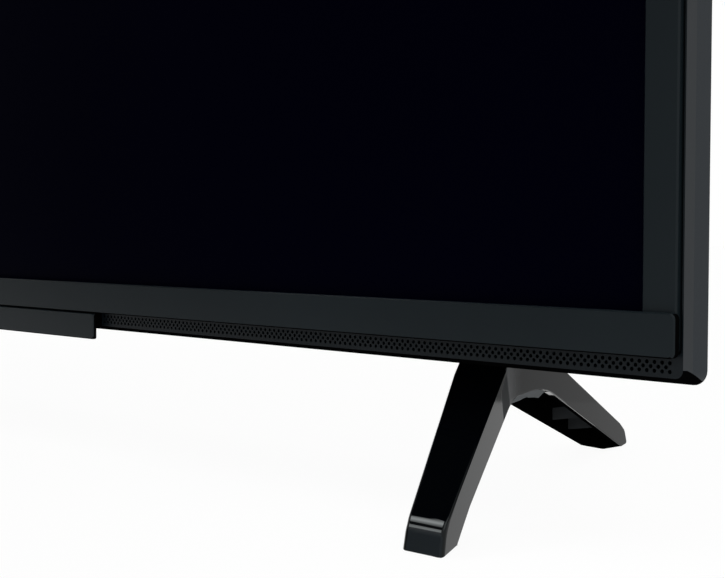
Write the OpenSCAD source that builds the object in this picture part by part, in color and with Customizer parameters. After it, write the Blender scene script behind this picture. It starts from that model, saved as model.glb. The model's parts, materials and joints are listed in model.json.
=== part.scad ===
// Flat screen television standing on two inverted-V feet.
// The front faces -Y, X runs to the viewer's right and the feet stand on Z = 0.
// Inside the modules Y is measured back from the front edge of the cabinet frame.

/* [Screen] */
// Width of the visible screen
screen_w = 874; // [820:1:930]
// Height of the visible screen
screen_h = 492; // [460:1:530]
// Glass hidden behind the bezel on each side
glass_overlap = 3; // [2:0.1:3.4]
// Thickness of the liquid crystal cell
cell_t = 1.2; // [0.8:0.1:2]
// Thickness of the diffuser plate
diffuser_t = 2; // [1.2:0.1:2.6]
// Depth of the lamp space behind the diffuser plate
lamp_space = 21.6; // [20:0.1:22]
// Rows of lamp bars
lamp_rows = 4; // [3:1:5]
// Lenses on each lamp bar
lamps_per_row = 8; // [6:1:10]

/* [Front] */
// Face width of the side and top bezel
bezel_w = 11.2; // [10.6:0.1:14]
// How far the bezel stands in front of the frame
bezel_proud = 1.8; // [1:0.1:2.6]
// Width of the shadow gap round the bezel
shadow_gap = 0.8; // [0.5:0.1:1.4]
// Height of the lower trim bar
bar_h = 12.8; // [12.4:0.1:18]
// How far the trim bar stands in front of the frame
bar_proud = 4.3; // [3.6:0.1:6]
// Radius of the trim bar's end corners
bar_r = 1; // [0.5:0.1:2]
// Height of the grille strip's face
strip_h = 5.9; // [5.7:0.1:8]
// Thickness of the grille strip
strip_t = 1.5; // [1:0.1:2]
// Pitch of the grille holes along a row
hole_pitch = 2.5; // [2.3:0.1:4]
// Diameter of the grille holes
hole_d = 1.2; // [0.8:0.1:1.3]

/* [Cabinet] */
// Width of the frame's front edge outside the shadow gap
rim_w = 0.5; // [0.4:0.1:2]
// Growth of the outline from the front edge to the widest line
flare = 2.5; // [1.5:0.1:4]
// Depth of the widest line behind the front edge
flare_d = 9; // [7:0.1:11]
// Depth of the front frame's visible side
lip_d = 3.2; // [2.4:0.1:3.6]
// Radius of the cabinet's outer corners
corner_r = 4.5; // [3.5:0.1:8]
// Depth of the thin upper part
thin_d = 35; // [34:0.1:40]
// Depth of the lower part that holds the boards
deep_d = 78; // [76:0.1:90]
// Height of the lower part on its back face
deep_h = 232; // [225:1:250]
// Wall thickness of the rear cover
wall = 2.5; // [2:0.1:3]
// Vent slots across the back
vents = 32; // [20:1:34]
// Width of each vent slot
vent_w = 3; // [2:0.1:4]

/* [Control block] */
// Width of the block under the middle of the screen
block_w = 331; // [300:1:360]
// How far the block hangs below the cabinet
block_drop = 3.1; // [2.6:0.1:5]
// Depth of the block
block_d = 30; // [29:0.1:32]
// Thickness of the lip that hangs in front of the cabinet's underside
block_lip = 1.6; // [1.4:0.1:3]
// Width of the power button
button_w = 14; // [9:0.1:20]
// Travel of the power button
button_travel = 0.8; // [0.5:0.1:0.9]

/* [Stand] */
// Height of the cabinet's underside above the floor
stand_h = 53.2; // [50:0.1:58]
// Distance of each foot's outer side from the middle, at the toe
foot_x = 388.5; // [377:0.1:393]
// Reach of the front toes in front of the frame
toe_reach = 30.6; // [25:0.1:34]
// Turn of each foot, front toe outwards
foot_yaw = 19.5; // [14:0.5:22]
// Length of each foot
foot_l = 226; // [210:0.5:240]
// Length of the seat under the cabinet
seat_l = 40.4; // [39:0.1:46]
// Width of each foot at the seat
seat_w = 19.9; // [19:0.1:22]
// Width of the front toe at its upper edge
toe_w = 14.6; // [13:0.1:16]
// Spread of the front toe's inner side down to the floor
toe_spread = 0.6; // [0.4:0.1:3]
// Width of the rear toe
tail_w = 17.2; // [15:0.1:18.5]
// Thickness of the front leg under the arch
leg_t = 13.1; // [12:0.1:14]
// Height of the arch below the seat's top, outer side
seat_t = 13; // [12.5:0.1:14]
// How much lower the arch is on the inner side
arch_drop = 6; // [4:0.1:7]
// Wall thickness of the hollow legs
foot_wall = 2.4; // [1.8:0.1:3]
// Ribs inside each rear leg
tail_ribs = 4; // [2:1:6]

/* [Wall mount] */
// Spacing of the four wall-mount threads
mount_pitch = 100; // [75:1:110]
// Height of the pattern's middle above the cabinet's underside
mount_rise = 141.8; // [138:0.1:150]
// Bore of the wall-mount threads
mount_bore = 3.3; // [3.2:0.1:4]

/* [Hidden] */
$fn = 48;
// Overrun of cuts
cut = 1;
// Clearance between pieces that slide or lap
fit = 0.2;
// Clearance round the moving button
button_gap = 0.3;
// Clearance of screws in their holes
screw_gap = 0.1;

// Heights of the front's bands, from the floor
cab_z0 = stand_h;
rim_z0 = cab_z0 + flare;
bar_z0 = rim_z0 + strip_h;
win_z0 = bar_z0 + bar_h;
win_z1 = win_z0 + screen_h;
win_zc = (win_z0 + win_z1) / 2;
bezel_z1 = win_z1 + bezel_w;
open_z1 = bezel_z1 + shadow_gap;
rim_z1 = open_z1 + rim_w;
cab_z1 = rim_z1 + flare;

// Half-widths of the same bands
win_xh = screen_w / 2;
bezel_xh = win_xh + bezel_w;
open_xh = bezel_xh + shadow_gap;
rim_xh = open_xh + rim_w;
cab_xh = rim_xh + flare;
bar_xh = bezel_xh + 1;

// Frame: lower edge of its opening, growth of its lip, web that carries the bezel
open_z0 = bar_z0 + 0.6;
lip_grow = flare * 0.48;
web_y = 3.5;
web_t = 1.5;
tongue_t = 2;
tongue_d = 3;
rim_r = corner_r - 2;

// Bezel: plate, rim wall, lower edge behind the bar
bezel_back = 0.4;
bezel_z0 = open_z0 + fit;
bezel_wall = 3.6;
bezel_bevel = 0.5;

// Panel module, outline margins outside the window and layers in depth
gasket_t = 0.5;
cell_m = glass_overlap;
pocket_m = glass_overlap + 0.4;
panel_m = pocket_m + 3.6;
cell_y = bezel_back + gasket_t;
shelf_y = cell_y + cell_t;
shelf_t = 1.5;
film_t = 0.25;
film_gap = 0.03;
films = 3;
film_y = shelf_y + shelf_t;
diffuser_y = film_y + films * (film_t + film_gap);
flange_y = diffuser_y + diffuser_t;
panel_d = 8.5;
sheet_t = 0.8;
tray_floor = flange_y + lamp_space;
tray_back = tray_floor + sheet_t;
tray_mouth_in = 10;
tray_floor_in = 28;
bar_t = 1;
lens_r = 8;
lens_h = 4;
lamp_bar_w = 16;
reflector_t = 0.5;
reflector_y = tray_floor - bar_t - reflector_t - 0.1;
lamp_row_pitch = (screen_h - 138) / (lamp_rows - 1);
lamp_pitch = (screen_w - 144) / (lamps_per_row - 1);

// Boards stand on bosses of the tray
boss_h = 6;
board_y = tray_back + boss_h;
board_t = 1.6;
board_back = board_y + board_t;
board_z0 = cab_z0 + 58.8;
main_x1 = -62;
main_w = 110;
main_x0 = main_x1 - main_w;
main_h = 123;
power_x0 = 70;
power_w = 120;
power_h = 128;
board_hole_in = 6;
board_screw_r = 1.3;
boss_r = 4;
main_holes = board_holes(main_x0, main_w, main_h);
power_holes = board_holes(power_x0, power_w, power_h);
all_board_holes = concat(main_holes, power_holes);

// Wall-mount columns: the height of their middle, and their radius
mount_z = cab_z0 + mount_rise;
column_r = 6;

// Panel board's place: its upper edge lies level with the undersides of the lower mount columns
panel_board_y = tray_back + 2;
panel_board_x = [-40, 60];
panel_board_h = 16;
panel_board_top = mount_z - mount_pitch / 2 - column_r;
panel_board_z = [panel_board_top - panel_board_h, panel_board_top];

// Main processor under its heat sink
chip_x = main_x0 + 50;
chip_z = board_z0 + 70;
chip_t = 2;

// Standing capacitors on both boards: [x, height above the boards' lower edge]
capacitor_spots = [[main_x0 + 14, 40], [main_x0 + 14, 54], [main_x0 + 86, 98],
    [power_x0 + 92, 36], [power_x0 + 106, 36], [power_x0 + 106, 52]];

// Lead thickness, and how far the leads stand off the boards
lead_r = 1.1;
lead_rise = 6;

// Socket row: mouths lie flush with the roof of the cable recess
recess_roof = cab_z0 + 54.8;
recess_x0 = -172.5;
recess_x1 = -59.5;
recess_y = tray_back + 6.7;
inlet_x = 130;
inlet_w = 22;
inlet_h = 13;
inlet_recess_w = 44;
socket_gap = 0.4;
lan_x = -163;
usb_x = -142;
hdmi_x = -121;
hdmi_pitch = 20;
jack_x = -86;
aerial_x = -75;
aerial_r = 4.7;
aerial_l = 10;
jack_bore = 3.6;
inlet_x0 = inlet_x - inlet_recess_w / 2;
inlet_x1 = inlet_x + inlet_recess_w / 2;

// Outer width and depth of each socket, which the recess roof is cut for
lan_size = [16, 13.5];
usb_size = [14.5, 7];
hdmi_size = [15.2, 5.8];
jack_size = [7, 7];
aerial_size = [11, 11];
socket_spots = [[lan_x, lan_size], [usb_x, usb_size], [hdmi_x, hdmi_size],
    [hdmi_x + hdmi_pitch, hdmi_size],
    [jack_x, jack_size], [aerial_x, aerial_size], [inlet_x, [inlet_w, inlet_h]]];

// Rear cover: outlines of the thin and the deep part
thin_in = 20;
deep_foot_in = 20;
deep_in = 65;
deep_top_slope = 46;
deep_r = 12;
vent_h = 18;
vent_drop = 9;
cover_screw_r = 1.6;
cover_boss_r = 5;
column_x = cab_xh - 135;
column_z = cab_z0 + 122;
screw_top_z = win_z1 - 40;
screw_side_z = win_zc + 70;
screw_top_x = cab_xh - 115;
screw_side_x = cab_xh - 75;

// Cover screws: [x, z, depth of the cover's face there]
cover_screw_spots = [
    for (x = [-screw_top_x, 0, screw_top_x]) [x, screw_top_z, thin_d],
    for (x = [-screw_side_x, screw_side_x]) [x, screw_side_z, thin_d],
    for (x = [-column_x, column_x]) [x, column_z, deep_d]];

// Speakers sit low between the middle recesses and the feet
speaker_w = 66;
speaker_x = cab_xh - 180;
speaker_y = tray_back + 4;
speaker_gap = 4.66;
speaker_d = deep_d - wall - speaker_gap - speaker_y;
speaker_h = 38;
gasket_h = 2.5;
driver_r = speaker_d / 2 - 4;
speaker_z = cab_z0 + wall + gasket_h;
speaker_top = speaker_z + speaker_h;
speaker_yc = speaker_y + speaker_d / 2;

// Control block
block_xh = block_w / 2;
block_y = -bar_proud;
block_z0 = cab_z0 - block_drop;
block_z1 = bar_z0 - 0.4;
block_wall = 1.6;
block_edge = 1.2;
block_floor = cab_z0 + block_wall;
block_back = block_y + block_d;
board_shelf = block_floor + 5.9;
control_t = 1.2;
switch_h = 3.4;
button_d = 5;
button_y = flare_d + 8;
button_flange = 0.9;
button_rise = 0.5;
plunger_r = 1.6;
plunger_z = board_shelf - switch_h - button_travel;
plunger_l = button_travel + 1.2;
lens_x = -53;
lens_w = 14;
lens_z0 = block_z0 + 5.4;
lens_z = 5;
control_y = web_y + web_t + tongue_d - 2;

// Foot: its outer side lies in one plane, with length s, height z and width n inwards
pad_t = 1.5;
pad_proud = 0.3;
toe_h = 8.6;
toe_lean = 0.05;
toe_out = 2.1;
toe_edge = 0.05;
heel_s = 10.4;
heel_rise = 1.4;
heel_z = 11;
leg_taper = 0.12;
seat_s0 = 58.6;
seat_s1 = seat_s0 + seat_l;
seat_plate = 6;
seat_roof = cab_z0 - seat_plate;
arch_z = cab_z0 - seat_t;
leg_rise = (cab_z0 - toe_h) / (seat_s0 - toe_lean);
leg_shift = leg_t * sqrt(1 + 1 / (leg_rise * leg_rise));
tail_h = 11.2;
tail_s = foot_l - 13;
tail_end = [foot_l - 4.5, 7];
tail_fall = (cab_z0 - tail_h) / (tail_s - seat_s1);
tail_sole = foot_l - 10;
tail_under = tail_fall * 0.92;
tail_roof = foot_wall * 1.3;
void_s = [seat_s1 - 1, tail_sole - 10];
foot_screw_s = [seat_s0 + 17, seat_s1 - 9];
foot_screw_n = -seat_w / 2;
foot_screw_r = 1.9;
foot_head_r = 3.6;
foot_head_t = 3;
foot_screw_l = 22;
foot_boss_r = 5.5;
foot_boss_h = 20;

// The front leg runs askew across the foot, and the inner wall hangs lower than the outer one
leg_skew = 16.6;
toe_skew = toe_w * tan(leg_skew);
seat_skew = seat_w * tan(leg_skew);
inner_arch = arch_z - arch_drop;
inner_sole = tail_sole - 4.5;
inner_under = tail_under * 0.944;
inner_leg = leg_back(inner_arch) + seat_skew - 4;

// Side views of the front leg with the seat, the rear leg, and the inner wall's lower part:
// corners [s, z, radius], with the seat left over-high for the plan's column to trim
seat_cut = cab_z0 + cut;
leg_arch = arch_z + 0.05;
leg_side = [
    [-toe_out, toe_edge, 0.6],
    [toe_lean, toe_h, 10],
    [leg_front(seat_cut), seat_cut, 0],
    [seat_s0 + 16, seat_cut, 0],
    [seat_s0 + 16, leg_arch, 0],
    [leg_back(leg_arch), leg_arch, 20],
    [leg_back(heel_z), heel_z, 8],
    [heel_s, heel_rise, 1]];
tail_side = [
    [seat_s0 + 8, seat_cut, 0],
    [seat_s1 - cut / tail_fall, seat_cut, 0],
    [tail_s, tail_h, 14],
    [tail_end[0], tail_end[1], 6],
    [foot_l, pad_proud, 1],
    [tail_sole, pad_proud, 1],
    [tail_sole - (arch_z - pad_proud) / tail_under, arch_z, 90],
    [seat_s0 + 8, arch_z, 0]];
inner_side = [
    [inner_leg, arch_z + 3, 0],
    [seat_s1, arch_z + 3, 0],
    [tail_sole + 3, tail_h / 2, 0],
    [tail_sole + 3, pad_proud, 0],
    [inner_sole, pad_proud, 1],
    [inner_sole - (inner_arch - pad_proud) / inner_under, inner_arch, 40],
    [inner_leg, inner_arch, 0]];

// Pads under the two toes: [place across, place along, width, length, thickness]
pad_spots = [
    [-toe_w / 2 - 0.8, 6.8, toe_w - 4.4, 4.4, 2],
    [-tail_w / 2, tail_sole + 4.5, tail_w - 8, 6, pad_t]];

// Sole block under the end of the rear leg, square to the cabinet, in width and length
sole_block = [[0.3 - tail_w, tail_sole - 4.7], [-5.8, tail_sole - 10.5], [-0.5, tail_sole + 0.4],
    [-2, tail_sole + 3], [0.3 - tail_w, tail_sole + 2]];
sole_top = 4.3;

// Middle of the stand's footprint, which the origin lies under
stand_front = -toe_reach - toe_out * cos(foot_yaw)
    + (toe_w + toe_spread) * (tan(leg_skew) * cos(foot_yaw) - sin(foot_yaw));
stand_rear = -toe_reach + foot_l * cos(foot_yaw);
stand_mid = (stand_front + stand_rear) / 2;

// Points of an arc round c from angle a0 to a1
function arc(c, r, a0, a1, n = 6) =
    [for (i = [0:n]) c + r * [cos(a0 + (a1 - a0) * i / n), sin(a0 + (a1 - a0) * i / n)]];

// Rounded rectangle in X and Z, centred on X = 0
function outline(xh, z0, z1, r) = concat(
    arc([xh - r, z1 - r], r, 0, 90),
    arc([r - xh, z1 - r], r, 90, 180),
    arc([r - xh, z0 + r], r, 180, 270),
    arc([xh - r, z0 + r], r, 270, 360));

// Outline a margin m outside the screen's window
function around(m, r) = outline(win_xh + m, win_z0 - m, win_z1 + m, r);

// Corner b of the path a, b, c rounded with radius r
function round_corner(a, b, c, r, n = 6) =
    let (p = (a - b) / norm(a - b),
         q = (c - b) / norm(c - b),
         half = acos(p * q) / 2,
         mid = b + (p + q) / norm(p + q) * r / sin(half),
         t0 = b + p * r / tan(half) - mid,
         t1 = b + q * r / tan(half) - mid,
         turn = 180 - 2 * half,
         side = sign(t0[0] * t1[1] - t0[1] * t1[0]))
    [for (i = [0:n]) let (a = side * turn * i / n)
        mid + [t0[0] * cos(a) - t0[1] * sin(a), t0[0] * sin(a) + t0[1] * cos(a)]];

// Closed path of corners [x, y, r], each rounded with its own radius
function round_path(path) = let (m = len(path)) [for (i = [0:m - 1])
    let (a = path[(i + m - 1) % m], b = path[i], c = path[(i + 1) % m])
    each b[2] > 0
        ? round_corner([a[0], a[1]], [b[0], b[1]], [c[0], c[1]], b[2])
        : [[b[0], b[1]]]];

// Plate between two depths with an outline in X and Z
module slab(points, y0, y1) {
    translate([0, y1, 0])
        rotate([90, 0, 0])
            linear_extrude(y1 - y0)
                polygon(points);
}

// Body between two outlines of as many points, at two depths
module loft(front, y0, back, y1) {
    n = len(front);
    polyhedron(
        points = concat([for (p = front) [p[0], y0, p[1]]], [for (p = back) [p[0], y1, p[1]]]),
        faces = concat(
            [[for (i = [n - 1:-1:0]) i]],
            [[for (i = [0:n - 1]) n + i]],
            [for (i = [0:n - 1]) [i, (i + 1) % n, n + (i + 1) % n]],
            [for (i = [0:n - 1]) [i, n + (i + 1) % n, n + i]]));
}

// Box from its two corners
module box(p0, p1) {
    translate(p0)
        cube(p1 - p0);
}

// Cylinder that runs back along Y
module rod(x, y0, y1, z, r) {
    translate([x, y0, z])
        rotate([-90, 0, 0])
            cylinder(h = y1 - y0, r = r);
}

// Route with each inner corner eased over the length e
function eased(p, e) = let (m = len(p)) concat([p[0]],
    [for (i = [1:m - 2])
        let (a = p[i] + (p[i - 1] - p[i]) / norm(p[i - 1] - p[i]) * e,
             c = p[i] + (p[i + 1] - p[i]) / norm(p[i + 1] - p[i]) * e)
        each [for (t = [0:0.25:1]) (1 - t) * (1 - t) * a + 2 * t * (1 - t) * p[i] + t * t * c]],
    [p[m - 1]]);

// Eight-sided wire along a route of points
module wire(points, r) {
    sides = 8;
    path = eased(points, 2.5 * r);
    last = len(path) - 1;
    skew = [1, 0.6, 0.4];
    rings = [for (i = [0:last])
        let (t = path[min(i + 1, last)] - path[max(i - 1, 0)],
             a = cross(t, skew) / norm(cross(t, skew)),
             b = cross(t, a) / norm(t))
        each [for (k = [0:sides - 1]) let (w = 360 * k / sides) path[i] + r * (cos(w) * a + sin(w) * b)]];
    polyhedron(points = rings, faces = concat(
        [[for (k = [0:sides - 1]) k]],
        [[for (k = [sides - 1:-1:0]) last * sides + k]],
        [for (i = [0:last - 1]) for (k = [0:sides - 1])
            [i * sides + k, (i + 1) * sides + k, (i + 1) * sides + (k + 1) % sides]],
        [for (i = [0:last - 1]) for (k = [0:sides - 1])
            [i * sides + k, (i + 1) * sides + (k + 1) % sides, i * sides + (k + 1) % sides]]));
}

module both_sides() {
    children();
    mirror([1, 0, 0])
        children();
}

// The origin lies on the floor under the middle of the footprint
module placed() {
    translate([0, -stand_mid, 0])
        children();
}

// Outline of the cabinet at depth y along its flare
function flare_outline(xh_grow) =
    outline(rim_xh + xh_grow, rim_z0 - xh_grow, rim_z1 + xh_grow, rim_r + xh_grow * 2 / flare);

// Notch that the control block takes out of the frame and the rear cover
module block_notch(clear) {
    box([-block_xh - clear, -cut, cab_z0 - flare],
        [block_xh + clear, block_back + clear, block_z1]);
}

// Outer moulding of the front: flared lip, web behind the bezel, lower wall with grille seats
module front_frame() {
    strip_x0 = block_xh + fit;
    strip_x1 = rim_xh - 2;
    color("#1b1c1e")
    placed()
    difference() {
        union() {
            loft(flare_outline(0), 0, flare_outline(lip_grow), lip_d);
            slab(outline(open_xh + 0.3, rim_z0, open_z1 + 0.3, rim_r), lip_d - cut,
                web_y + web_t + tongue_d);
        }
        slab(outline(open_xh, open_z0, open_z1, rim_r - rim_w), -cut, web_y);
        slab(around(panel_m + 0.4, 1), -cut, web_y + web_t + cut);
        slab(outline(open_xh + 0.3 - tongue_t, rim_z0 + tongue_t, open_z1 + 0.3 - tongue_t, 1),
            web_y + web_t, web_y + web_t + tongue_d + cut);
        both_sides() {
            box([strip_x0 - cut, -cut, rim_z0 + 0.6], [strip_x1, strip_t, open_z0 + cut]);
            box([strip_x0 + 1, 0, rim_z0 + 1.5], [strip_x1 - 1, web_y + web_t + cut, bar_z0 - 0.4]);
        }
        block_notch(fit);
    }
}

// One perforated strip: three staggered rows of round holes
module grille() {
    x0 = block_xh + fit;
    x1 = rim_xh - 2;
    last = rim_xh - 4.2;
    row = hole_pitch / 2;
    top = bar_z0 - 1.6;
    count = floor((last - x0 - row) / hole_pitch);
    placed()
    translate([0, strip_t, 0])
        rotate([90, 0, 0])
            linear_extrude(strip_t)
                difference() {
                    translate([x0, rim_z0 + 0.6])
                        square([x1 - x0, open_z0 - rim_z0 - 0.6]);
                    for (r = [0:2])
                        for (i = [0:count - r % 2])
                            translate([last - (i + (r % 2) / 2) * hole_pitch, top - r * row])
                                circle(d = hole_d, $fn = 16);
                }
}

module grille_right() {
    color("#1a1b1d")
        grille();
}

module grille_left() {
    color("#1a1b1d")
        mirror([1, 0, 0])
            grille();
}

// Inner bezel: bevelled face ring on a rim wall
module bezel_ring() {
    face = outline(bezel_xh, bezel_z0, bezel_z1, 1.5);
    face_in = outline(bezel_xh - bezel_bevel, bezel_z0 + bezel_bevel, bezel_z1 - bezel_bevel, 1.5);
    window = outline(win_xh, win_z0 - 0.3, win_z1, 0.5);
    window_out = outline(win_xh + bezel_bevel + cut, win_z0 - 0.3 - bezel_bevel - cut,
        win_z1 + bezel_bevel + cut, 0.5);
    color("#202224")
    placed()
    difference() {
        union() {
            loft(face_in, -bezel_proud, face, bezel_bevel - bezel_proud);
            slab(face, bezel_bevel - bezel_proud, web_y);
        }
        slab(window, -bezel_proud - cut, bezel_back + cut);
        loft(window_out, -bezel_proud - cut, window, bezel_bevel - bezel_proud);
        slab(outline(bezel_xh - bezel_wall, bezel_z0 + bezel_wall, bezel_z1 - bezel_wall, 1),
            bezel_back, web_y + cut);
    }
}

// Trim bar under the screen, with bevelled front edges
module lower_bar() {
    bevel = 0.4;
    color("#26282a")
    placed()
    union() {
        loft(outline(bar_xh - bevel, bar_z0 + bevel, win_z0 - bevel, bar_r), -bar_proud,
            outline(bar_xh, bar_z0, win_z0, bar_r), bevel - bar_proud);
        slab(outline(bar_xh, bar_z0, win_z0, bar_r), bevel - bar_proud, -bezel_proud);
    }
}

// Housing behind the block's lip: its underside follows the cabinet's flare
module block_housing() {
    y0 = block_y + block_lip / 2;
    under = [[y0, rim_z0], [0, rim_z0], [flare_d, cab_z0], [block_back, cab_z0]];
    rotate([90, 0, 90])
        translate([0, 0, -block_xh])
            linear_extrude(block_w)
                polygon(concat(under, [[block_back, block_z1], [y0, block_z1]]));
}

// Space in the housing, open at the top
module block_space() {
    y0 = block_y + block_lip;
    y1 = block_back - block_wall;
    under = [[y0, rim_z0 + block_wall], [0, rim_z0 + block_wall], [flare_d, block_floor], [y1, block_floor]];
    rotate([90, 0, 90])
        translate([0, 0, block_wall - block_xh])
            linear_extrude(block_w - 2 * block_wall)
                polygon(concat(under, [[y1, block_z1 + cut], [y0, block_z1 + cut]]));
}

// Control block under the middle of the bar: hanging front lip and the housing behind it
module control_block() {
    full = outline(block_xh, block_z0, block_z1, block_edge);
    color("#222426")
    placed()
    difference() {
        union() {
            loft(outline(block_xh - 0.4, block_z0 + 0.4, block_z1 - 0.4, block_edge), block_y,
                full, block_y + 0.4);
            slab(full, block_y + 0.4, block_y + block_lip);
            difference() {
                block_housing();
                block_space();
            }
            both_sides()
                box([28, flare_d, block_floor - 0.5], [30, block_back - block_wall + 0.5, board_shelf]);
        }
        box([-button_w / 2 - button_gap, button_y - button_d / 2 - button_gap, cab_z0 - cut],
            [button_w / 2 + button_gap, button_y + button_d / 2 + button_gap, block_floor + cut]);
        box([lens_x - lens_w / 2, block_y - cut, lens_z0],
            [lens_x + lens_w / 2, block_y + block_lip + cut, lens_z0 + lens_z]);
    }
}

// Dark window in front of the infrared receiver
module ir_lens() {
    color("#120507")
    placed()
        box([lens_x - lens_w / 2 + screw_gap, block_y, lens_z0 + screw_gap],
            [lens_x + lens_w / 2 - screw_gap, block_y + block_lip, lens_z0 + lens_z - screw_gap]);
}

// Button cap with a flange that keeps it in the block, and a stem up to the plunger
module power_button() {
    flange_z = block_floor + button_gap;
    flange_in = 1.5;
    color("#2b2d30")
    placed()
    translate([0, button_y, 0]) {
        box([-button_w / 2, -button_d / 2, cab_z0 - button_rise],
            [button_w / 2, button_d / 2, flange_z + button_flange]);
        box([-button_w / 2 - flange_in, -button_d / 2 - flange_in, flange_z],
            [button_w / 2 + flange_in, button_d / 2 + flange_in, flange_z + button_flange]);
        translate([0, 0, flange_z])
            cylinder(h = plunger_z - flange_z, r = plunger_r);
    }
}

// Plunger of the switch, which the button's stem pushes up
module switch_plunger() {
    color("#8f8f8a")
    placed()
    translate([0, button_y, plunger_z])
        cylinder(h = plunger_l, r = plunger_r);
}

// Switch under the control board, bored for its plunger
module tact_switch() {
    half = 3.2;
    color("#3c3f42")
    placed()
    difference() {
        box([-half, button_y - half, board_shelf - switch_h], [half, button_y + half, board_shelf]);
        translate([0, button_y, board_shelf - switch_h - cut])
            cylinder(h = cut + plunger_l + button_gap, r = plunger_r + button_gap);
    }
}

// Small circuit board on the block's two ribs
module control_board() {
    color("#1f5a38")
    placed()
        box([lens_x - 8, control_y, board_shelf],
            [38, block_back - block_wall - fit, board_shelf + control_t]);
}

// Infrared receiver behind its lens
module ir_receiver() {
    color("#17171a")
    placed()
        box([lens_x - 3, block_y + block_lip + fit, rim_z0 + block_wall + fit],
            [lens_x + 3, control_y + 2, board_shelf]);
}

// Foam ring between the bezel and the glass
module cell_gasket() {
    color("#0d0d0e")
    placed()
    difference() {
        slab(around(cell_m, 0.5), bezel_back, cell_y);
        slab(around(0.6, 0.5), bezel_back - cut, cell_y + cut);
    }
}

// Liquid crystal cell, a dark glass plate
module lcd_cell() {
    color("#050608")
    placed()
        slab(around(cell_m, 0.5), cell_y, shelf_y);
}

// Plastic frame that the cell lies in, with a shelf between cell and films
module panel_frame() {
    color("#2a2c2e")
    placed()
    difference() {
        slab(around(panel_m, 1), bezel_back, panel_d);
        slab(around(pocket_m, 0.5), bezel_back - cut, shelf_y);
        slab(around(-1, 0.5), shelf_y - cut, film_y + cut);
        slab(around(pocket_m, 0.5), film_y, panel_d + cut);
    }
}

// Stack of light-guiding sheets
module optical_films() {
    color("#e8eaec")
    placed()
    for (i = [0:films - 1])
        slab(around(pocket_m - 0.8, 0.5), film_y + i * (film_t + film_gap),
            film_y + i * (film_t + film_gap) + film_t);
}

module diffuser_plate() {
    color("#f3f4f2")
    placed()
        slab(around(pocket_m - 0.5, 0.5), diffuser_y, flange_y);
}

// Place of lamp i on bar j
function lamp_x(i) = (i - (lamps_per_row - 1) / 2) * lamp_pitch;
function lamp_z(j) = win_zc + (j - (lamp_rows - 1) / 2) * lamp_row_pitch;

// Cone posts that hold the diffuser plate off the lamps
module support_pins() {
    color("#eef0ee")
    placed()
    for (i = [1.5, lamps_per_row - 2.5])
        for (j = [0.5:lamp_rows - 1.5])
            translate([lamp_x(i), reflector_y, lamp_z(j)])
                rotate([90, 0, 0])
                    cylinder(h = reflector_y - flange_y - fit, r1 = 5, r2 = 1.5);
}

module led_bars() {
    color("#d9dcd6")
    placed()
    for (j = [0:lamp_rows - 1])
        box([40 - win_xh, tray_floor - bar_t, lamp_z(j) - lamp_bar_w / 2],
            [win_xh - 40, tray_floor, lamp_z(j) + lamp_bar_w / 2]);
}

// Domed lens over each lamp
module led_lenses() {
    dome = concat([[0, 0]], [for (a = [0:15:90]) [lens_r * cos(a), 1 + (lens_h - 1) * sin(a)]]);
    color("#f6f8fa")
    placed()
    for (j = [0:lamp_rows - 1])
        for (i = [0:lamps_per_row - 1])
            translate([lamp_x(i), tray_floor - bar_t, lamp_z(j)])
                rotate([90, 0, 0])
                    rotate_extrude()
                        polygon(concat([[0, 0], [lens_r, 0]], [for (k = [1:len(dome) - 1]) dome[k]]));
}

// White sheet over the lamp bars, with a hole for each lens
module reflector_sheet() {
    color("#fbfbf9")
    placed()
    difference() {
        slab(around(-32, 4), reflector_y, reflector_y + reflector_t);
        for (j = [0:lamp_rows - 1])
            for (i = [0:lamps_per_row - 1])
                rod(lamp_x(i), reflector_y - cut, reflector_y + reflector_t + cut, lamp_z(j), lens_r + 1);
    }
}

// Corners of a board's screw pattern: two low holes above the sockets, two high ones
function board_holes(x0, w, h) = [for (x = [x0 + board_hole_in, x0 + w - board_hole_in])
    for (z = [board_z0 + 24, board_z0 + h - board_hole_in]) [x, z]];

// Pressed steel tray: flange, sloping walls, flat floor with bosses for boards and cover
module back_tray() {
    mouth = pocket_m - tray_mouth_in;
    base = pocket_m - tray_floor_in;
    color("#b9bcbe")
    placed()
    difference() {
        union() {
            difference() {
                union() {
                    slab(around(pocket_m - fit, 1), flange_y, flange_y + sheet_t);
                    loft(around(mouth + sheet_t, 6), flange_y + sheet_t / 2, around(base + sheet_t, 6),
                        tray_back);
                }
                loft(around(mouth + (mouth - base) * cut / lamp_space, 6), flange_y - cut,
                    around(base, 6), tray_floor);
            }
            for (h = all_board_holes)
                rod(h[0], tray_floor + sheet_t / 2, board_y, h[1], boss_r);
            for (s = cover_screw_spots)
                rod(s[0], tray_floor + sheet_t / 2, s[2] - wall, s[1], cover_boss_r);
            for (x = [panel_board_x[0] + 4, panel_board_x[1] - 4])
                for (z = [panel_board_z[0] + 4, panel_board_z[1] - 4])
                    rod(x, tray_floor + sheet_t / 2, panel_board_y, z, 3);
        }
        for (h = all_board_holes)
            rod(h[0], board_y - boss_h + 1, board_y + cut, h[1], board_screw_r + screw_gap);
        for (s = cover_screw_spots)
            rod(s[0], s[2] - wall - 3.5, s[2] - wall + cut, s[1], cover_screw_r + screw_gap);
    }
}

// Long thin board that drives the cell
module panel_board() {
    color("#1d6b3f")
    placed()
        box([panel_board_x[0], panel_board_y, panel_board_z[0]],
            [panel_board_x[1], panel_board_y + 1.2, panel_board_z[1]]);
}

// Drilled circuit board
module board(x0, w, h, holes) {
    difference() {
        box([x0, board_y, board_z0], [x0 + w, board_back, board_z0 + h]);
        for (p = holes)
            rod(p[0], board_y - cut, board_back + cut, p[1], board_screw_r + 0.3);
    }
}

module main_board() {
    color("#1c5f3a")
    placed()
        board(main_x0, main_w, main_h, main_holes);
}

module power_board() {
    color("#8a6a35")
    placed()
        board(power_x0, power_w, power_h, power_holes);
}

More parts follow.
